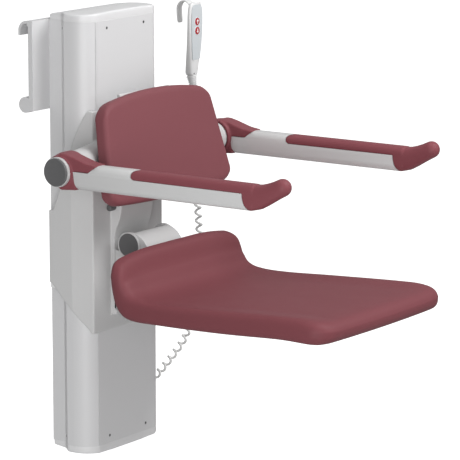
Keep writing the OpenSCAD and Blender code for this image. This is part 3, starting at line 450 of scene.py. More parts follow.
def moulded(name, names, material, body, voxel, rounds=4, angle=None, still=None, lap=0.0,
            piece=None):
    """A moulding: the CAD shapes fused into one skin, with small fillets at every edge.

    Points for which still() holds are not smoothed: they move along by lap, onto the next piece.
    """
    piece = piece or copy_of(names, name)
    fuse = piece.modifiers.new("fuse", "REMESH")
    fuse.mode = "VOXEL"
    fuse.voxel_size = voxel * MM
    fuse.use_smooth_shade = True
    apply_modifiers(piece)
    ease = piece.modifiers.new("ease", "SMOOTH")
    if still:
        points = piece.data.vertices
        middle_y = sum(v.co.y for v in points) / len(points)
        for v in points:
            if still(v.co / MM):
                v.co = (v.co.x * TUCK, middle_y + (v.co.y - middle_y) * TUCK, v.co.z + lap * MM)
        free = piece.vertex_groups.new(name="free")
        free.add([v.index for v in points if not still(v.co / MM)], 1.0, "REPLACE")
        ease.vertex_group = "free"
    ease.factor = 0.5
    ease.iterations = rounds
    apply_modifiers(piece)
    smooth(piece, angle)
    paint(piece, material)
    settle(piece, body, names)
    return piece


# Facets that differ by less than this, in degrees, become one face
SAME_FACE = 0.6
# Corners of facets nearer than this, in metres, are joined first
SAME_CORNER = 5e-6


def bevelled(name, names, material, body, width):
    """The CAD shape with its facets merged and its edges broken by a small bevel."""
    piece = copy_of(names, name)
    clean = bmesh.new()
    clean.from_mesh(piece.data)
    bmesh.ops.remove_doubles(clean, verts=clean.verts, dist=SAME_CORNER)
    bmesh.ops.dissolve_limit(clean, angle_limit=math.radians(SAME_FACE), verts=clean.verts,
                             edges=clean.edges)
    clean.to_mesh(piece.data)
    clean.free()
    breaker = piece.modifiers.new("break_edges", "BEVEL")
    breaker.width = width * MM
    breaker.segments = 2
    breaker.limit_method = "ANGLE"
    breaker.angle_limit = math.radians(PANEL_CRISP)
    breaker.harden_normals = False
    apply_modifiers(piece)
    smooth(piece, PANEL_CRISP)
    paint(piece, material)
    settle(piece, body, names)


def dress(names, material, degrees=30):
    """A CAD node that stays gets its finish and smooth shading."""
    for n in names:
        paint(nodes[n], material)
        smooth(nodes[n], degrees)


def spline_point(a, b, c, d, t):
    """A point between b and c on the smooth curve through four points."""
    a, b, c, d = (np.array(p, float) for p in (a, b, c, d))
    return 0.5 * (2 * b + (c - a) * t + (2 * a - 5 * b + 4 * c - d) * t * t
                  + (3 * b - a - 3 * c + d) * t ** 3)


def spline(points, steps):
    """The smooth curve through some points, with a number of steps from each to the next."""
    last = len(points) - 1
    out = []
    for i in range(last):
        for k in range(steps):
            out.append(spline_point(points[max(i - 1, 0)], points[i], points[i + 1],
                                    points[min(i + 2, last)], k / steps))
    out.append(np.array(points[-1], float))
    return out


# Curly cord
CORD_D, CURL_D = 6.0, 19.0
CURLS, CURL_STEPS = 42, 16
# Share of the route that stays straight at each end
CORD_STRAIGHT = 0.012
# Half of the stretch of route that gives the cord its direction at a point
LOOK_AHEAD = 0.004
# From the handset's boot down, and back in a free bow to the socket low on the column
CORD_ROUTE = [
    (434, -45, -208), (434, -44, -250), (436, -42, -330), (442, -42, -410), (452, -42, -480),
    (460, -42, -550), (462, -42, -620), (455, -42, -690), (435, -42, -750), (402, -42, -812),
    (330, -46, -856), (250, -52, -890), (185, -60, -910), (145, -62, -915),
]


def cord_route(u):
    """A point on the route, from 0 at the handset to 1 at the socket."""
    spans = len(CORD_ROUTE) - 1
    v = u * spans
    i = min(int(v), spans - 1)
    return spline_point(CORD_ROUTE[max(i - 1, 0)], CORD_ROUTE[i], CORD_ROUTE[i + 1],
                        CORD_ROUTE[min(i + 2, spans)], v - i)


def cord_middle():
    """Middle line of the cord: straight at both ends, wound in curls between them."""
    path_r = (CURL_D - CORD_D) / 2
    total = CURLS * CURL_STEPS
    marks = [(0, 0, 0), (CORD_STRAIGHT, 0, 0)]
    for k in range(1, total):
        marks.append((CORD_STRAIGHT + (1 - 2 * CORD_STRAIGHT) * k / total,
                      2 * math.pi * k / CURL_STEPS,
                      min(1, k / CURL_STEPS, (total - k) / CURL_STEPS)))
    marks += [(1 - CORD_STRAIGHT, 0, 0), (1, 0, 0)]
    points = []
    for u, a, share in marks:
        ahead = cord_route(min(1, u + LOOK_AHEAD)) - cord_route(max(0, u - LOOK_AHEAD))
        side = np.cross(ahead, (0, 1, 0))
        side /= np.linalg.norm(side)
        wind = side * math.cos(a) + np.array((0, 1, 0)) * math.sin(a)
        points.append(cord_route(u) + wind * path_r * share)
    return points


def make_cord():
    """The curly cord as one piece."""
    points = cord_middle()
    curve = bpy.data.curves.new("curly_cord_jacket", "CURVE")
    curve.dimensions = "3D"
    curve.bevel_depth = CORD_D / 2 * MM
    curve.bevel_resolution = 4
    curve.use_fill_caps = True
    line = curve.splines.new("POLY")
    line.points.add(len(points) - 1)
    for spot, p in zip(line.points, points):
        spot.co = (*(c * MM for c in p), 1.0)
    line.use_smooth = True
    piece = bpy.data.objects.new("curly_cord_jacket", curve)
    bpy.context.scene.collection.objects.link(piece)
    curve.materials.append(WHITE["cord"])
    settle(piece, "column", ("curly_cord",))


make_cord()


# Cushions
# The seat cushion is drawn from its hinge axis: forward distances and heights in millimetres
SEAT_AXIS = (0.0, -223.0, -492.0)
SEAT_W, SEAT_FRONT_W = 470.0, 496.0
LIP_BACK, LIP_RISE, LIP_T = 61.5, 10.0, 38.0
NOSE, SIT = 648.0, -84.0
SEAT_BACK_T, SEAT_FRONT_T = 47.0, 40.0
LIP_FLAT = 80.0
LIP_FRONT = LIP_BACK + LIP_T
# How far the lip's top falls and the nose draws in towards the sides, and the corners' radii
LIP_DROP, NOSE_BOW = 16, 9
LIP_CORNER_R, NOSE_CORNER_R, REAR_CORNER_R = 34, 45, 32
# The sides roll up by this much at the lip, and by this much more at the nose
RIM_RISE, RIM_GROWTH = 4.0, 2.5


def corner(a, half, r):
    """How far a rounded corner draws an outline in at a place across it."""
    return 0.0 if a <= half - r else r - math.sqrt(max(0.0, r * r - (a - half + r) ** 2))


def slices(half, edge_r, flat_steps=18, edge_steps=9):
    """Places across a cushion, close together where its edge turns."""
    inner = half - edge_r
    flat = [inner * k / flat_steps for k in range(flat_steps + 1)]
    edge = [inner + edge_r * math.sin(math.pi / 2 * k / edge_steps)
            for k in range(1, edge_steps + 1)]
    right = flat + edge
    return [-v for v in reversed(right[1:])] + right


def edge_fall(a, half, edge_r, fullness=2.4):
    """Share of a cushion's thickness left at a place near its side."""
    u = min(1.0, max(0.0, (a - half + edge_r) / edge_r))
    return max(0.1, (1 - u ** fullness) ** (1 / fullness))


def ease_in(v, low, high):
    """A soft step from 0 at low to 1 at high."""
    t = min(1.0, max(0.0, (v - low) / (high - low)))
    return t * t * (3 - 2 * t)


def seat_rings(edge_r=22.0):
    """Rings of the seat cushion: sitting side from the lip's top to the nose, then back below."""
    upper = spline([
        (LIP_BACK + 10, LIP_RISE), (LIP_BACK + LIP_T * 0.72, LIP_RISE - 10),
        (LIP_FRONT, LIP_RISE - 42), (LIP_FRONT + 7, SIT + 38), (LIP_FRONT + 24, SIT + 13),
        (LIP_FRONT + 60, SIT), (LIP_FRONT + 140, SIT - 2), (NOSE - 270, SIT + 3),
        (NOSE - 120, SIT + 10), (NOSE - 36, SIT + 12), (NOSE - 10, SIT + 5), (NOSE, SIT - 9)], 5)
    lower = spline([
        (LIP_BACK + 5, LIP_RISE - 4), (LIP_BACK, LIP_RISE - 30), (LIP_BACK, SIT + 58),
        (LIP_BACK + 3, SIT + 24), (LIP_BACK + 14, SIT - 18),
        (LIP_BACK + 48, SIT - SEAT_BACK_T + 2), (LIP_BACK + 140, SIT - SEAT_BACK_T),
        (NOSE - 270, SIT - SEAT_FRONT_T - 3), (NOSE - 120, SIT - SEAT_FRONT_T + 4),
        (NOSE - 34, SIT - SEAT_FRONT_T + 3), (NOSE - 9, SIT - 31), (NOSE - 1, SIT - 20)], 5)
    half = SEAT_W / 2
    rings = []
    for x in slices(half, edge_r):
        a = abs(x)
        lip_share = max(0, a - LIP_FLAT) / (half - LIP_FLAT)
        lip_in = LIP_DROP * lip_share ** 2 + corner(a, half, LIP_CORNER_R)
        nose_in = NOSE_BOW * (a / half) ** 2 + corner(a, half, NOSE_CORNER_R)
        back_in = 0.45 * corner(a, half, REAR_CORNER_R)
        thick = edge_fall(a, half, edge_r)
        sides = []
        for line, keeps in ((upper, False), (lower, True)):
            placed = []
            for p in line:
                raised = min(1.0, max(0.0, (p[1] - SIT) / (LIP_RISE - SIT)))
                shift = back_in if keeps else back_in * min(1.0, 1.6 * raised)
                s = (p[0] - LIP_BACK) / (NOSE - LIP_BACK)
                placed.append(np.array((p[0] + shift * (1 - s) ** 4 - nose_in * s * s,
                                        p[1] - lip_in * raised)))
            sides.append(placed)
        top, low = [], []
        for p, q in zip(*sides):
            mid = (p + q) / 2
            out = (p - q) / max(1e-6, np.linalg.norm(p - q))
            s = (p[0] - LIP_BACK) / (NOSE - LIP_BACK)
            rim = RIM_RISE + RIM_GROWTH * ease_in(s, 0.1, 0.8)
            rim *= ease_in(a / half, 0.66, 0.92)
            rim *= 1 - 0.8 * ease_in(s, 0.86, 0.98)
            rim *= ease_in(SIT + 90 - p[1], 0, 30) if p[1] > SIT + 50 else 1
            p = p + out * rim
            top.append(mid + (p - mid) * thick)
            low.append(mid + (q - mid) * thick)
        ring = []
        for p in top + low[::-1]:
            s = (p[0] - LIP_BACK) / (NOSE - LIP_BACK)
            wide = 1 + (SEAT_FRONT_W / SEAT_W - 1) * (1 - (1 - s) ** 4)
            ring.append((x * wide, SEAT_AXIS[1] - p[0], SEAT_AXIS[2] + p[1]))
        rings.append(ring)
    return rings


BACK_H, BACK_W, BACK_TOP_W, BACK_T = 246.0, 474.0, 394.0, 36.0
RECLINE = math.radians(12.5)
# Where the backrest's rear face starts at its foot: y and z
BACK_FOOT = (-272.0, -388.0)
SOFT_FIT = 0.4
BACK_TOP_RISE, BACK_CROWN, BACK_CORNER_R = 2.0, 2.0, 36
# How far the top and the foot draw in towards the sides
BACK_TOP_BOW, BACK_FOOT_BOW = 20, 10
# Places up the cushion, close together where its edges turn
BACK_MARKS = [0, 0.006, 0.02, 0.05, 0.09, 0.15, 0.24, 0.34, 0.45, 0.56, 0.67, 0.77, 0.85, 0.91,
              0.95, 0.98, 0.994, 1]


def back_rings(edge_r=12.0):
    """Rings of the backrest cushion: its back from foot to top, then the front down again."""
    half = BACK_W / 2
    rings = []
    for x in slices(half, edge_r):
        a = abs(x)
        rounded = corner(a, half, BACK_CORNER_R)
        top_in = BACK_TOP_BOW * (a / half) ** 2 + rounded - BACK_TOP_RISE
        foot_in = BACK_FOOT_BOW * (a / half) ** 2 + rounded
        turn = corner(a, half, edge_r)
        back, front = [], []
        for v in BACK_MARKS:
            height = foot_in + v * (BACK_H - foot_in - top_in)
            rim = min(height - foot_in, BACK_H - top_in - height)
            round_in = corner(max(0.0, edge_r - rim), edge_r, edge_r)
            pull = max(turn, round_in)
            narrow = 1 - (1 - BACK_TOP_W / BACK_W) * height / BACK_H
            up = math.pi * min(1, max(0, height / BACK_H))
            crown = BACK_CROWN * (1 - (a / half) ** 2) * math.sin(up)
            for side, depth in ((back, pull), (front, BACK_T - pull - BACK_CROWN + crown)):
                y = -depth - SOFT_FIT
                side.append((x * narrow,
                             BACK_FOOT[0] + y * math.cos(RECLINE) + height * math.sin(RECLINE),
                             BACK_FOOT[1] + height * math.cos(RECLINE) - y * math.sin(RECLINE)))
        rings.append(back + front[::-1])
    return rings


def ladder_loft(rings):
    """A skin over rings whose two halves face each other; the end rings are closed as ladders."""
    verts, faces = loft(rings, closed=False)
    n = len(rings[0])
    for base in (0, len(verts) - n):
        for j in range(n // 2 - 1):
            faces.append((base + j, base + j + 1, base + n - 2 - j, base + n - 1 - j))
    return verts, faces


def make_cushion(name, rings, material, body, node):
    """A moulded foam cushion from its rings, smoothed once more."""
    verts, faces = ladder_loft(rings)
    piece = piece_from(name, verts, faces, material, body, (node,))
    finer = piece.modifiers.new("finer", "SUBSURF")
    finer.levels = finer.render_levels = 1
    apply_modifiers(piece)
    smooth(piece)


make_cushion("seat_cushion_moulding", seat_rings(), MAROON["seat"], "seat", "seat_cushion")
make_cushion("backrest_cushion_moulding", back_rings(), MAROON["back"], "carriage",
             "backrest_cushion")


# Column
COLUMN_TOP, COLUMN_LOW = 12.0, -957.0
FRONT_Y = -166.0
# The rim of each end cap that laps onto the column, and how far it laps
RIM_H, RIM_LAP = 1.6, 2.4
# Rounds of smoothing on the caps, and the angle above which their edges stay crisp
CAP_ROUNDS, CAP_CRISP = 60, 40
# The lips beside the cover: from and to, then how deep they lie, how thick they are, their chamfer
SEAM_LIPS = ((104.0, 106.92), (107.08, 110.0))
SEAM_SUNK, SEAM_THICK, SEAM_EDGE = 0.15, 1.35, 0.1

dress(["column_profile", "front_cover"], WHITE["profile"])
moulded("top_cap_moulding", ["top_cap"], WHITE["cap"], "column", 1.3,
        rounds=CAP_ROUNDS, angle=CAP_CRISP, lap=-RIM_LAP,
        still=lambda at: at.z < COLUMN_TOP + RIM_H)
moulded("bottom_cap_moulding", ["bottom_cap"], WHITE["cap"], "column", 1.3,
        rounds=CAP_ROUNDS, angle=CAP_CRISP, lap=RIM_LAP,
        still=lambda at: at.z > COLUMN_LOW - RIM_H)
dress(["wall_hanger", "lock_rod"], WHITE["profile"])
dress(["top_bracket", "bottom_bracket", "actuator_tube"], METAL["zinc"])
dress(["wall_pad"], DARK["rubber"])
dress(["actuator_housing", "control_box", "cord_socket"], DARK["plastic"])
dress(["groove_screws"], METAL["bright"])
dress(["cover_screws"], DARK["screw"])


def seam_lips():
    """Two thin lips that close each seam beside the cover; the drive blades pass between them."""
    y1 = FRONT_Y + SEAM_SUNK
    y2 = y1 + SEAM_THICK
    heights = (COLUMN_LOW + 1, (COLUMN_LOW + COLUMN_TOP) / 2, COLUMN_TOP - 1)
    for side, word in SIDES:
        for k, lip in enumerate(SEAM_LIPS):
            x1, x2 = sorted((side * lip[0], side * lip[1]))
            section = [(x1, y1 + SEAM_EDGE), (x1 + SEAM_EDGE, y1), (x2 - SEAM_EDGE, y1),
                       (x2, y1 + SEAM_EDGE), (x2, y2), (x1, y2)]
            verts, faces = loft([[(x, y, z) for x, y in section] for z in heights])
            smooth(piece_from("seam_lip_%s_%d" % (word, k + 1), verts, faces, WHITE["profile"],
                              "column"), 30)


seam_lips()

# Carriage
moulded("carriage_casting", ["carriage_shell", "carriage_plate", "arm_carrier_left",
                             "arm_carrier_right", "back_bracket", "seat_knuckle"],
        WHITE["coat"], "carriage", 1.8, rounds=2)
dress(["drive_blades", "sled_plate", "actuator_rod", "rod_bolt", "arm_pin_left", "arm_pin_right",
       "seat_pin", "seat_plate"], METAL["zinc"])
dress(["side_glides"], WHITE["plastic"])
dress(["sled_glides"], DARK["glide"])
bevelled("back_plate_panel", ["back_plate"], WHITE["coat"], "carriage", 1.6)
moulded("seat_bracket_casting", ["seat_bracket"], WHITE["coat"], "seat", 1.4)
bevelled("seat_stop_rubbers", ["seat_stops"], DARK["rubber"], "seat", 1.0)

# A turned profile is written as distances along its axis and radii
HINGE_CAP_R, HINGE_CAP_X = 27, 66.4
HINGE_RIM = [(-1.0, 26.6), (-1.0, 29.6), (3.6, 29.6), (4.2, 29.0), (4.2, 27.9), (3.8, 27.2)]
KNOB = [(0, 0.001), (0, 7.2), (19.5, 7.2), (21.2, 6.8), (22.2, 5.8), (22.6, 4), (22.6, 0.001)]
KNOB_X, KNOB_Y, KNOB_Z = 60, -178.0, -410


def round_cap(r, depth, edge=1.6, dish=0.4):
    """Side view of a round cap with a rolled edge and a slightly sunk face."""
    arc = [(depth - edge + edge * math.sin(t), r - edge + edge * math.cos(t))
           for t in (math.pi / 2 * k / 5 for k in range(6))]
    return [(0, 0.001), (0, r)] + arc + [
        (depth - dish * 0.3, r - edge - 1.2), (depth - dish, r - edge - 2.2),
        (depth - dish, 0.001)]


for side, word in SIDES:
    hinge_end = (side * HINGE_CAP_X, SEAT_AXIS[1], SEAT_AXIS[2])
    lathe("seat_hinge_cap_" + word, round_cap(HINGE_CAP_R, 4), hinge_end, (side, 0, 0),
          DARK["cap"], "seat", ("seat_caps",))
    lathe("seat_hinge_rim_" + word, HINGE_RIM, hinge_end, (side, 0, 0), WHITE["coat"], "seat",
          ring=True)
    lathe("back_knob_" + word, KNOB, (side * KNOB_X, KNOB_Y, KNOB_Z), (side, 0, 0), DARK["cap"],
          "carriage", ("back_knobs",))

# Armrests
ARM_X, ARM_Y, ARM_Z = 298.0, -223.0, -289.0
ARM_CAP_X, ARM_CAP_R = 330, 30.8
# The CAD pad is cut this far from the hinge, where the shaped grip starts
GRIP_CUT = 503.0
TIP_R, TIP_RINGS, GRIP_SIDES = 19, 8, 40
# Along the arm: distance from the hinge, height, half height, half width, fullness of the section
GRIP_STATIONS = [
    (497, -8.5, 28.2, 20.8, 2.9), (510, -6.5, 26.3, 20.6, 2.7), (525, -1.5, 23.2, 20.2, 2.5),
    (540, 5, 20.9, 19.8, 2.3), (555, 12, 19.4, 19.4, 2.15), (568, 18.5, 19, 19, 2.05),
]


def grip_rings(side):
    """Rings of a grip that turns up at the arm's end and closes in a round tip."""
    marks = list(GRIP_STATIONS)
    s, h, tall, wide, full = marks[-1]
    rise = math.atan2(h - marks[-2][1], s - marks[-2][0])
    for k in range(1, TIP_RINGS + 1):
        t = math.pi / 2 * k / (TIP_RINGS + 0.2)
        out = TIP_R * math.sin(t)
        marks.append((s + out * math.cos(rise), h + out * math.sin(rise),
                      tall * math.cos(t), wide * math.cos(t), full))
    rings = []
    for k, (s, h, tall, wide, full) in enumerate(marks):
        before, after = marks[max(k - 1, 0)], marks[min(k + 1, len(marks) - 1)]
        lean = math.atan2(after[1] - before[1], after[0] - before[0]) if k else 0.0
        ring = []
        for a in (2 * math.pi * j / GRIP_SIDES for j in range(GRIP_SIDES)):
            c, v = math.cos(a), math.sin(a)
            x = wide * math.copysign(abs(c) ** (2 / full), c)
            up = tall * math.copysign(abs(v) ** (2 / full), v)
            ring.append((side * ARM_X + x, ARM_Y - (s - up * math.sin(lean)),
                         ARM_Z + h + up * math.cos(lean)))
        rings.append(ring)
    return rings


def pad_with_grip(name, node, side):
    """The soft pad of the CAD with its plain grip cut off and a shaped grip in its place."""
    piece = copy_of([node], name)
    body = bmesh.new()
    body.from_mesh(piece.data)
    bmesh.ops.bisect_plane(body, geom=body.verts[:] + body.edges[:] + body.faces[:],
                           plane_co=(0, (ARM_Y - GRIP_CUT) * MM, 0), plane_no=(0, -1, 0),
                           clear_outer=True)
    bmesh.ops.holes_fill(body, edges=[e for e in body.edges if e.is_boundary])
    verts, faces = loft(grip_rings(side))
    made = [body.verts.new([c * MM for c in v]) for v in verts]
    grip = [body.faces.new([made[i] for i in face]) for face in faces]
    bmesh.ops.recalc_face_normals(body, faces=grip)
    body.to_mesh(piece.data)
    body.free()
    return piece


for side, word in SIDES:
    body = "arm_" + word
    skin = moulded("arm_skin_moulding_" + word, ["arm_skin_" + word], MAROON["arm"], body,
                   1.6, rounds=28)
    pad_name, pad_node = "arm_pad_moulding_" + word, "arm_pad_" + word
    pad = moulded(pad_name, [pad_node], MAROON["arm"], body, 1.6, rounds=9,
                  piece=pad_with_grip(pad_name, pad_node, side))
    dress(["arm_hub_" + word], WHITE["coat"])
    bevelled("arm_tube_section_" + word, ["arm_tube_" + word], WHITE["coat"], body,
             0.6)
    lathe("arm_hinge_cap_" + word, round_cap(ARM_CAP_R, 5), (side * ARM_CAP_X, ARM_Y, ARM_Z),
          (side, 0, 0), DARK["cap"], body, ("arm_cap_" + word,))

# Handset
HANDSET_X, HANDSET_Y = 434.0, -56.0
BOOT_Y = HANDSET_Y + 17.0
# Down the handset: height, half width, depth, lean to the wall
HANDSET_STATIONS = [
    (-1.2, 5.0, 4.0, 1.5), (-1.8, 13.0, 8.0, 0.8), (-4, 18.4, 11.0, 0.2), (-9, 22.0, 12.6, 0),
    (-18, 24.6, 13.4, 0), (-32, 26.0, 13.8, 0), (-52, 26.0, 14.4, 0), (-80, 24.8, 16.2, 0.3),
    (-108, 22.4, 18.6, 1.2), (-132, 19.8, 20.8, 2.4), (-152, 17.6, 22.4, 3.6),
    (-166, 16.0, 23.4, 4.6), (-173, 15.0, 23.0, 5.2), (-176.5, 13.4, 21.6, 6.0),
    (-177.8, 11.0, 18.0, 7.8),
]
# How square the housing's section is in front and behind: 2 is an ellipse
SQUARE_FRONT, SQUARE_BACK = 3.2, 2.9
HOUSING_SIDES = 56
# The label down the handset: each height, and how far inside the handset's edge it stays
LABEL_HEAD = [(-7.5, 9.9), (-8.5, 7.0), (-11, 5.3), (-16, 4.6)]
LABEL_FOOT = [(-136.5, 4.2), (-138.8, 5.2), (-139.8, 7.2)]
LABEL_INSET, LABEL_STEP, LABEL_STEPS = 4.2, 6.2, 19
LABEL_SUNK, LABEL_PROUD = -0.9, 0.35
HOOK_R, HOOK_T, HOOK_W, HOOK_BENDS = 21.0, 3.0, 22.0, 24
# Below the bend to the hook's tip: how far down, how far it leans in, and its width
HOOK_TIP = ((8.0, 0.1, 20.6), (17.0, 0.5, 20.4), (25.0, 1.2, 20.0), (30.5, 1.9, 18.4),
            (33.4, 2.4, 14.0), (34.4, 2.6, 8.0))
# Its section with broken corners, in shares of half its width and half its thickness
HOOK_SECTION = ((-1, -0.6), (-0.94, -1), (0.94, -1), (1, -0.6), (1, 0.6), (0.94, 1), (-0.94, 1),
                (-1, 0.6))
BOOT_Z, BOOT_AXIS = -176.6, (0, -6, -31)
BOOT_RIBS, RIB_PITCH, RIB_TAPER = 5, 4.6, 0.7
FOOT_SCREW_AT = (HANDSET_X - 5, HANDSET_Y + 5.4, -173.0)
FOOT_SCREW = [(-1.5, 0.001), (-1.5, 1.9), (0.3, 1.9), (0.6, 1.4), (0.6, 0.001)]
KEY = [(-5, 0.001), (-5, 9), (0.8, 9), (1.3, 8.7), (1.6, 8.0), (1.75, 4), (1.8, 0.001)]
KEY_RING = [(0.1, 9.3), (0.75, 9.4), (0.85, 9.7), (0.75, 10.5), (0.1, 10.7)]
# Half of an arrow, and the depths between which it lies on its key
ARROW_HALF, ARROW_DEPTHS = [(0, 5.8), (4.4, 0.9), (1.5, 0.9), (1.5, -5.2)], (1.5, 2.0)
# Each key: its direction, height and the sense of its arrow
KEYS = (("up", -48.0, 1), ("down", -70.0, -1))


def handset_at(z):
    """Half width, depth and lean of the handset at a height."""
    for above, below in zip(HANDSET_STATIONS, HANDSET_STATIONS[1:]):
        if below[0] <= z <= above[0]:
            t = (above[0] - z) / (above[0] - below[0])
            return [u + (v - u) * t for u, v in zip(above[1:], below[1:])]
    return HANDSET_STATIONS[-1][1:]


def handset_housing():
    """The handset's two shells as one soft form, thin at its head and deeper towards its foot."""
    rings = []
    for z, wide, deep, lean in spline(HANDSET_STATIONS, 3):
        ring = []
        for a in (2 * math.pi * j / HOUSING_SIDES for j in range(HOUSING_SIDES)):
            c, v = math.cos(a), math.sin(a)
            full = 2 / (SQUARE_FRONT if v < 0 else SQUARE_BACK)
            x = wide * math.copysign(abs(c) ** full, c)
            y = deep / 2 * (1 + math.copysign(abs(v) ** full, v))
            ring.append((HANDSET_X + x, HANDSET_Y + lean + y, z))
        rings.append(ring)
    verts, faces = loft(rings)
    smooth(piece_from("handset_housing", verts, faces, WHITE["plastic"], "column",
                      ("handset_front", "handset_back")), 50)


def handset_face():
    """The grey face label: it follows the taper of the handset and stands a hair proud of it."""
    run = [(LABEL_HEAD[-1][0] - LABEL_STEP * k, LABEL_INSET) for k in range(1, LABEL_STEPS + 1)]
    outline = []
    for z, inset in LABEL_HEAD + run + LABEL_FOOT:
        wide, _, lean = handset_at(z)
        outline.append((wide - inset, lean, z))
    loop = outline + [(-x, lean, z) for x, lean, z in reversed(outline)]
    verts, faces = loft([[(HANDSET_X + x, HANDSET_Y + lean - out, z) for x, lean, z in loop]
                         for out in (LABEL_SUNK, LABEL_PROUD)])
    smooth(piece_from("handset_face_label", verts, faces, COLOUR["label"], "column",
                      ("handset_label",)), 30)


def hook_band():
    """The hook over the rail: a flat band bent round, a little narrower at its tip."""
    middle_r = HOOK_R - HOOK_T / 2
    back = HANDSET_Y + 11.5
    middle = (back + HOOK_R, HOOK_T - HOOK_R - 1.4)
    marks = [((back + HOOK_T / 2, -46.0), 180.0, HOOK_W - 1),
             ((back + HOOK_T / 2, -30.0), 180.0, HOOK_W)]
    for k in range(HOOK_BENDS + 1):
        a = 180.0 - 180.0 * k / HOOK_BENDS
        spot = (middle[0] + middle_r * math.cos(math.radians(a)),
                middle[1] + middle_r * math.sin(math.radians(a)))
        marks.append((spot, a, HOOK_W - 0.06 * k))
    low = marks[-1][0]
    for drop, lean, wide in HOOK_TIP:
        marks.append(((low[0] - lean, low[1] - drop), -8.0, wide))
    rings = []
    for (y, z), a, wide in marks:
        out_y = math.cos(math.radians(a)) * HOOK_T / 2
        out_z = math.sin(math.radians(a)) * HOOK_T / 2
        rings.append([(HANDSET_X + x * wide / 2, y + out_y * d, z + out_z * d)
                      for x, d in HOOK_SECTION])
    verts, faces = loft(rings)
    smooth(piece_from("handset_hook_band", verts, faces, WHITE["plastic"], "column",
                      ("handset_hook",)), 40)


def strain_boot():
    """Ribbed boot that guards the cord below the handset."""
    profile = [(0, 0.001), (0, 10.2), (3.0, 10.2), (3.3, 12.8), (6.2, 12.9)]
    for k in range(BOOT_RIBS):
        along, r = 6.2 + RIB_PITCH * k, 12.2 - RIB_TAPER * k
        profile += [(along + 0.3, r - 2.0), (along + 1.7, r - 2.1), (along + 2.1, r - 0.2),
                    (along + 4.4, r - 0.5)]
    profile += [(29.8, 7.4), (30.4, 5.2), (30.4, 0.001)]
    lathe("handset_strain_boot", profile, (HANDSET_X, BOOT_Y, BOOT_Z), BOOT_AXIS,
          WHITE["plastic"], "column", ("handset_strain_relief",))


handset_housing()
handset_face()
hook_band()
strain_boot()
lathe("handset_foot_screw", FOOT_SCREW, FOOT_SCREW_AT, (0, -1, 0), DARK["screw"], "column")
dress(["handset_screw"], DARK["screw"])
dress(["handset_board"], COLOUR["board"])
for word, z, up in KEYS:
    body = "button_" + word
    lathe("key_" + word, KEY, (HANDSET_X, HANDSET_Y, z), (0, -1, 0), COLOUR["red"], body,
          (body,))
    lathe("key_ring_" + word, KEY_RING, (HANDSET_X, HANDSET_Y, z), (0, -1, 0), COLOUR["ring"],
          "column", ring=True)
    outline = ARROW_HALF + [(-x, y) for x, y in reversed(ARROW_HALF[1:])]
    verts, faces = loft([[(HANDSET_X + x, HANDSET_Y - depth, z + up * y) for x, y in outline]
                         for depth in ARROW_DEPTHS])
    piece_from("key_arrow_" + word, verts, faces, COLOUR["arrow"], body)


# Stage and light
# The floor's height and half its width, in metres
FLOOR_Z, FLOOR_HALF = -1.5, 30
# The floor's glow to the camera grows between two distances, in metres, from low to white
GLOW_FROM, GLOW_TO, GLOW_LOW = 1.8, 3.4, 0.72
FLOOR_DARK, FLOOR_PALE = 0.52, 0.56
WORLD_FILL = 0.39
AIM = (0.0, -0.35, -0.4)
# Each lamp: its name, place, width and power
LAMPS = (("key_light", (0.7, -2.5, 1.9), 2.0, 78.0), ("side_light", (-3.4, -2.2, -0.3), 2.4, 74.0),
         ("top_light", (0.0, -0.5, 3.0), 2.4, 22.0))


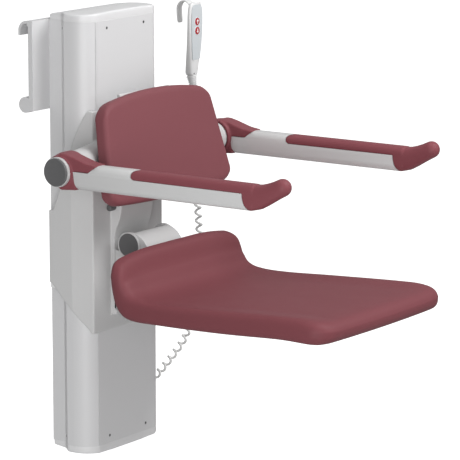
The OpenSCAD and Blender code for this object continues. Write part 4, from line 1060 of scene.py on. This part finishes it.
def stage_floor():
    """Pale floor far below the seat. It shows white to the camera and keeps the object's shadow."""
    mesh = bpy.data.meshes.new("studio_floor")
    corners = ((-1, -1), (1, -1), (1, 1), (-1, 1))
    mesh.from_pydata([(x * FLOOR_HALF, y * FLOOR_HALF, FLOOR_Z) for x, y in corners], [],
                     [(0, 1, 2, 3)])
    floor = bpy.data.objects.new("studio_floor", mesh)
    bpy.context.scene.collection.objects.link(floor)
    material = bpy.data.materials.new("studio_floor")
    material.use_nodes = True
    tree = material.node_tree
    shader = tree.nodes["Principled BSDF"]
    shader.inputs["Roughness"].default_value = 0.9
    tone = add_node(tree, "ShaderNodeTexNoise", scale=1.5)
    pale = add_node(tree, "ShaderNodeMapRange")
    set_inputs(pale, {"To Min": FLOOR_DARK, "To Max": FLOOR_PALE})
    wire(tree, tone, "Fac", pale, "Value")
    wire(tree, pale, "Result", shader, "Base Color")
    glow = tree.nodes.new("ShaderNodeEmission")
    path = tree.nodes.new("ShaderNodeLightPath")
    place = tree.nodes.new("ShaderNodeTexCoord")
    away = add_node(tree, "ShaderNodeVectorMath", operation="LENGTH")
    wire(tree, place, "Object", away, 0)
    farther = tree.nodes.new("ShaderNodeMapRange")
    set_inputs(farther, {"From Min": GLOW_FROM, "From Max": GLOW_TO, "To Min": GLOW_LOW,
                         "To Max": 1.0})
    wire(tree, away, "Value", farther, "Value")
    seen = add_node(tree, "ShaderNodeMath", operation="MULTIPLY")
    wire(tree, farther, "Result", seen, 1)
    wire(tree, path, "Is Camera Ray", seen, 0)
    wire(tree, seen, 0, glow, "Strength")
    both = tree.nodes.new("ShaderNodeAddShader")
    wire(tree, shader, 0, both, 0)
    wire(tree, glow, 0, both, 1)
    # Seen from below the floor is clear
    under = tree.nodes.new("ShaderNodeMixShader")
    wire(tree, tree.nodes.new("ShaderNodeNewGeometry"), "Backfacing", under, "Fac")
    wire(tree, both, 0, under, 1)
    wire(tree, tree.nodes.new("ShaderNodeBsdfTransparent"), 0, under, 2)
    wire(tree, under, 0, tree.nodes["Material Output"], "Surface")
    floor.data.materials.append(material)


def studio_world(fill):
    """White to the camera, a softer white as light and in reflections."""
    world = bpy.data.worlds.new("studio")
    bpy.context.scene.world = world
    world.use_nodes = True
    tree = world.node_tree
    background = tree.nodes["Background"]
    background.inputs["Color"].default_value = (1, 1, 1, 1)
    path = tree.nodes.new("ShaderNodeLightPath")
    shown = add_node(tree, "ShaderNodeMath", operation="MAXIMUM")
    wire(tree, path, "Is Camera Ray", shown, 0)
    wire(tree, path, "Is Transmission Ray", shown, 1)
    level = add_node(tree, "ShaderNodeMapRange")
    set_inputs(level, {"To Min": fill, "To Max": 1.0})
    wire(tree, shown, 0, level, "Value")
    wire(tree, level, "Result", background, "Strength")


def soft_light(name, spot, size, power):
    """A round soft lamp that faces the seat and stays out of the picture."""
    data = bpy.data.lights.new(name, "AREA")
    data.shape = "DISK"
    data.size = size
    data.energy = power
    lamp = bpy.data.objects.new(name, data)
    lamp.location = spot
    lamp.rotation_euler = (Vector(AIM) - Vector(spot)).to_track_quat("-Z", "Y").to_euler()
    lamp.visible_camera = False
    bpy.context.scene.collection.objects.link(lamp)


stage_floor()
studio_world(WORLD_FILL)
for lamp_name, spot, size, power in LAMPS:
    soft_light(lamp_name, spot, size, power)

bpy.context.scene.view_settings.view_transform = "Standard"
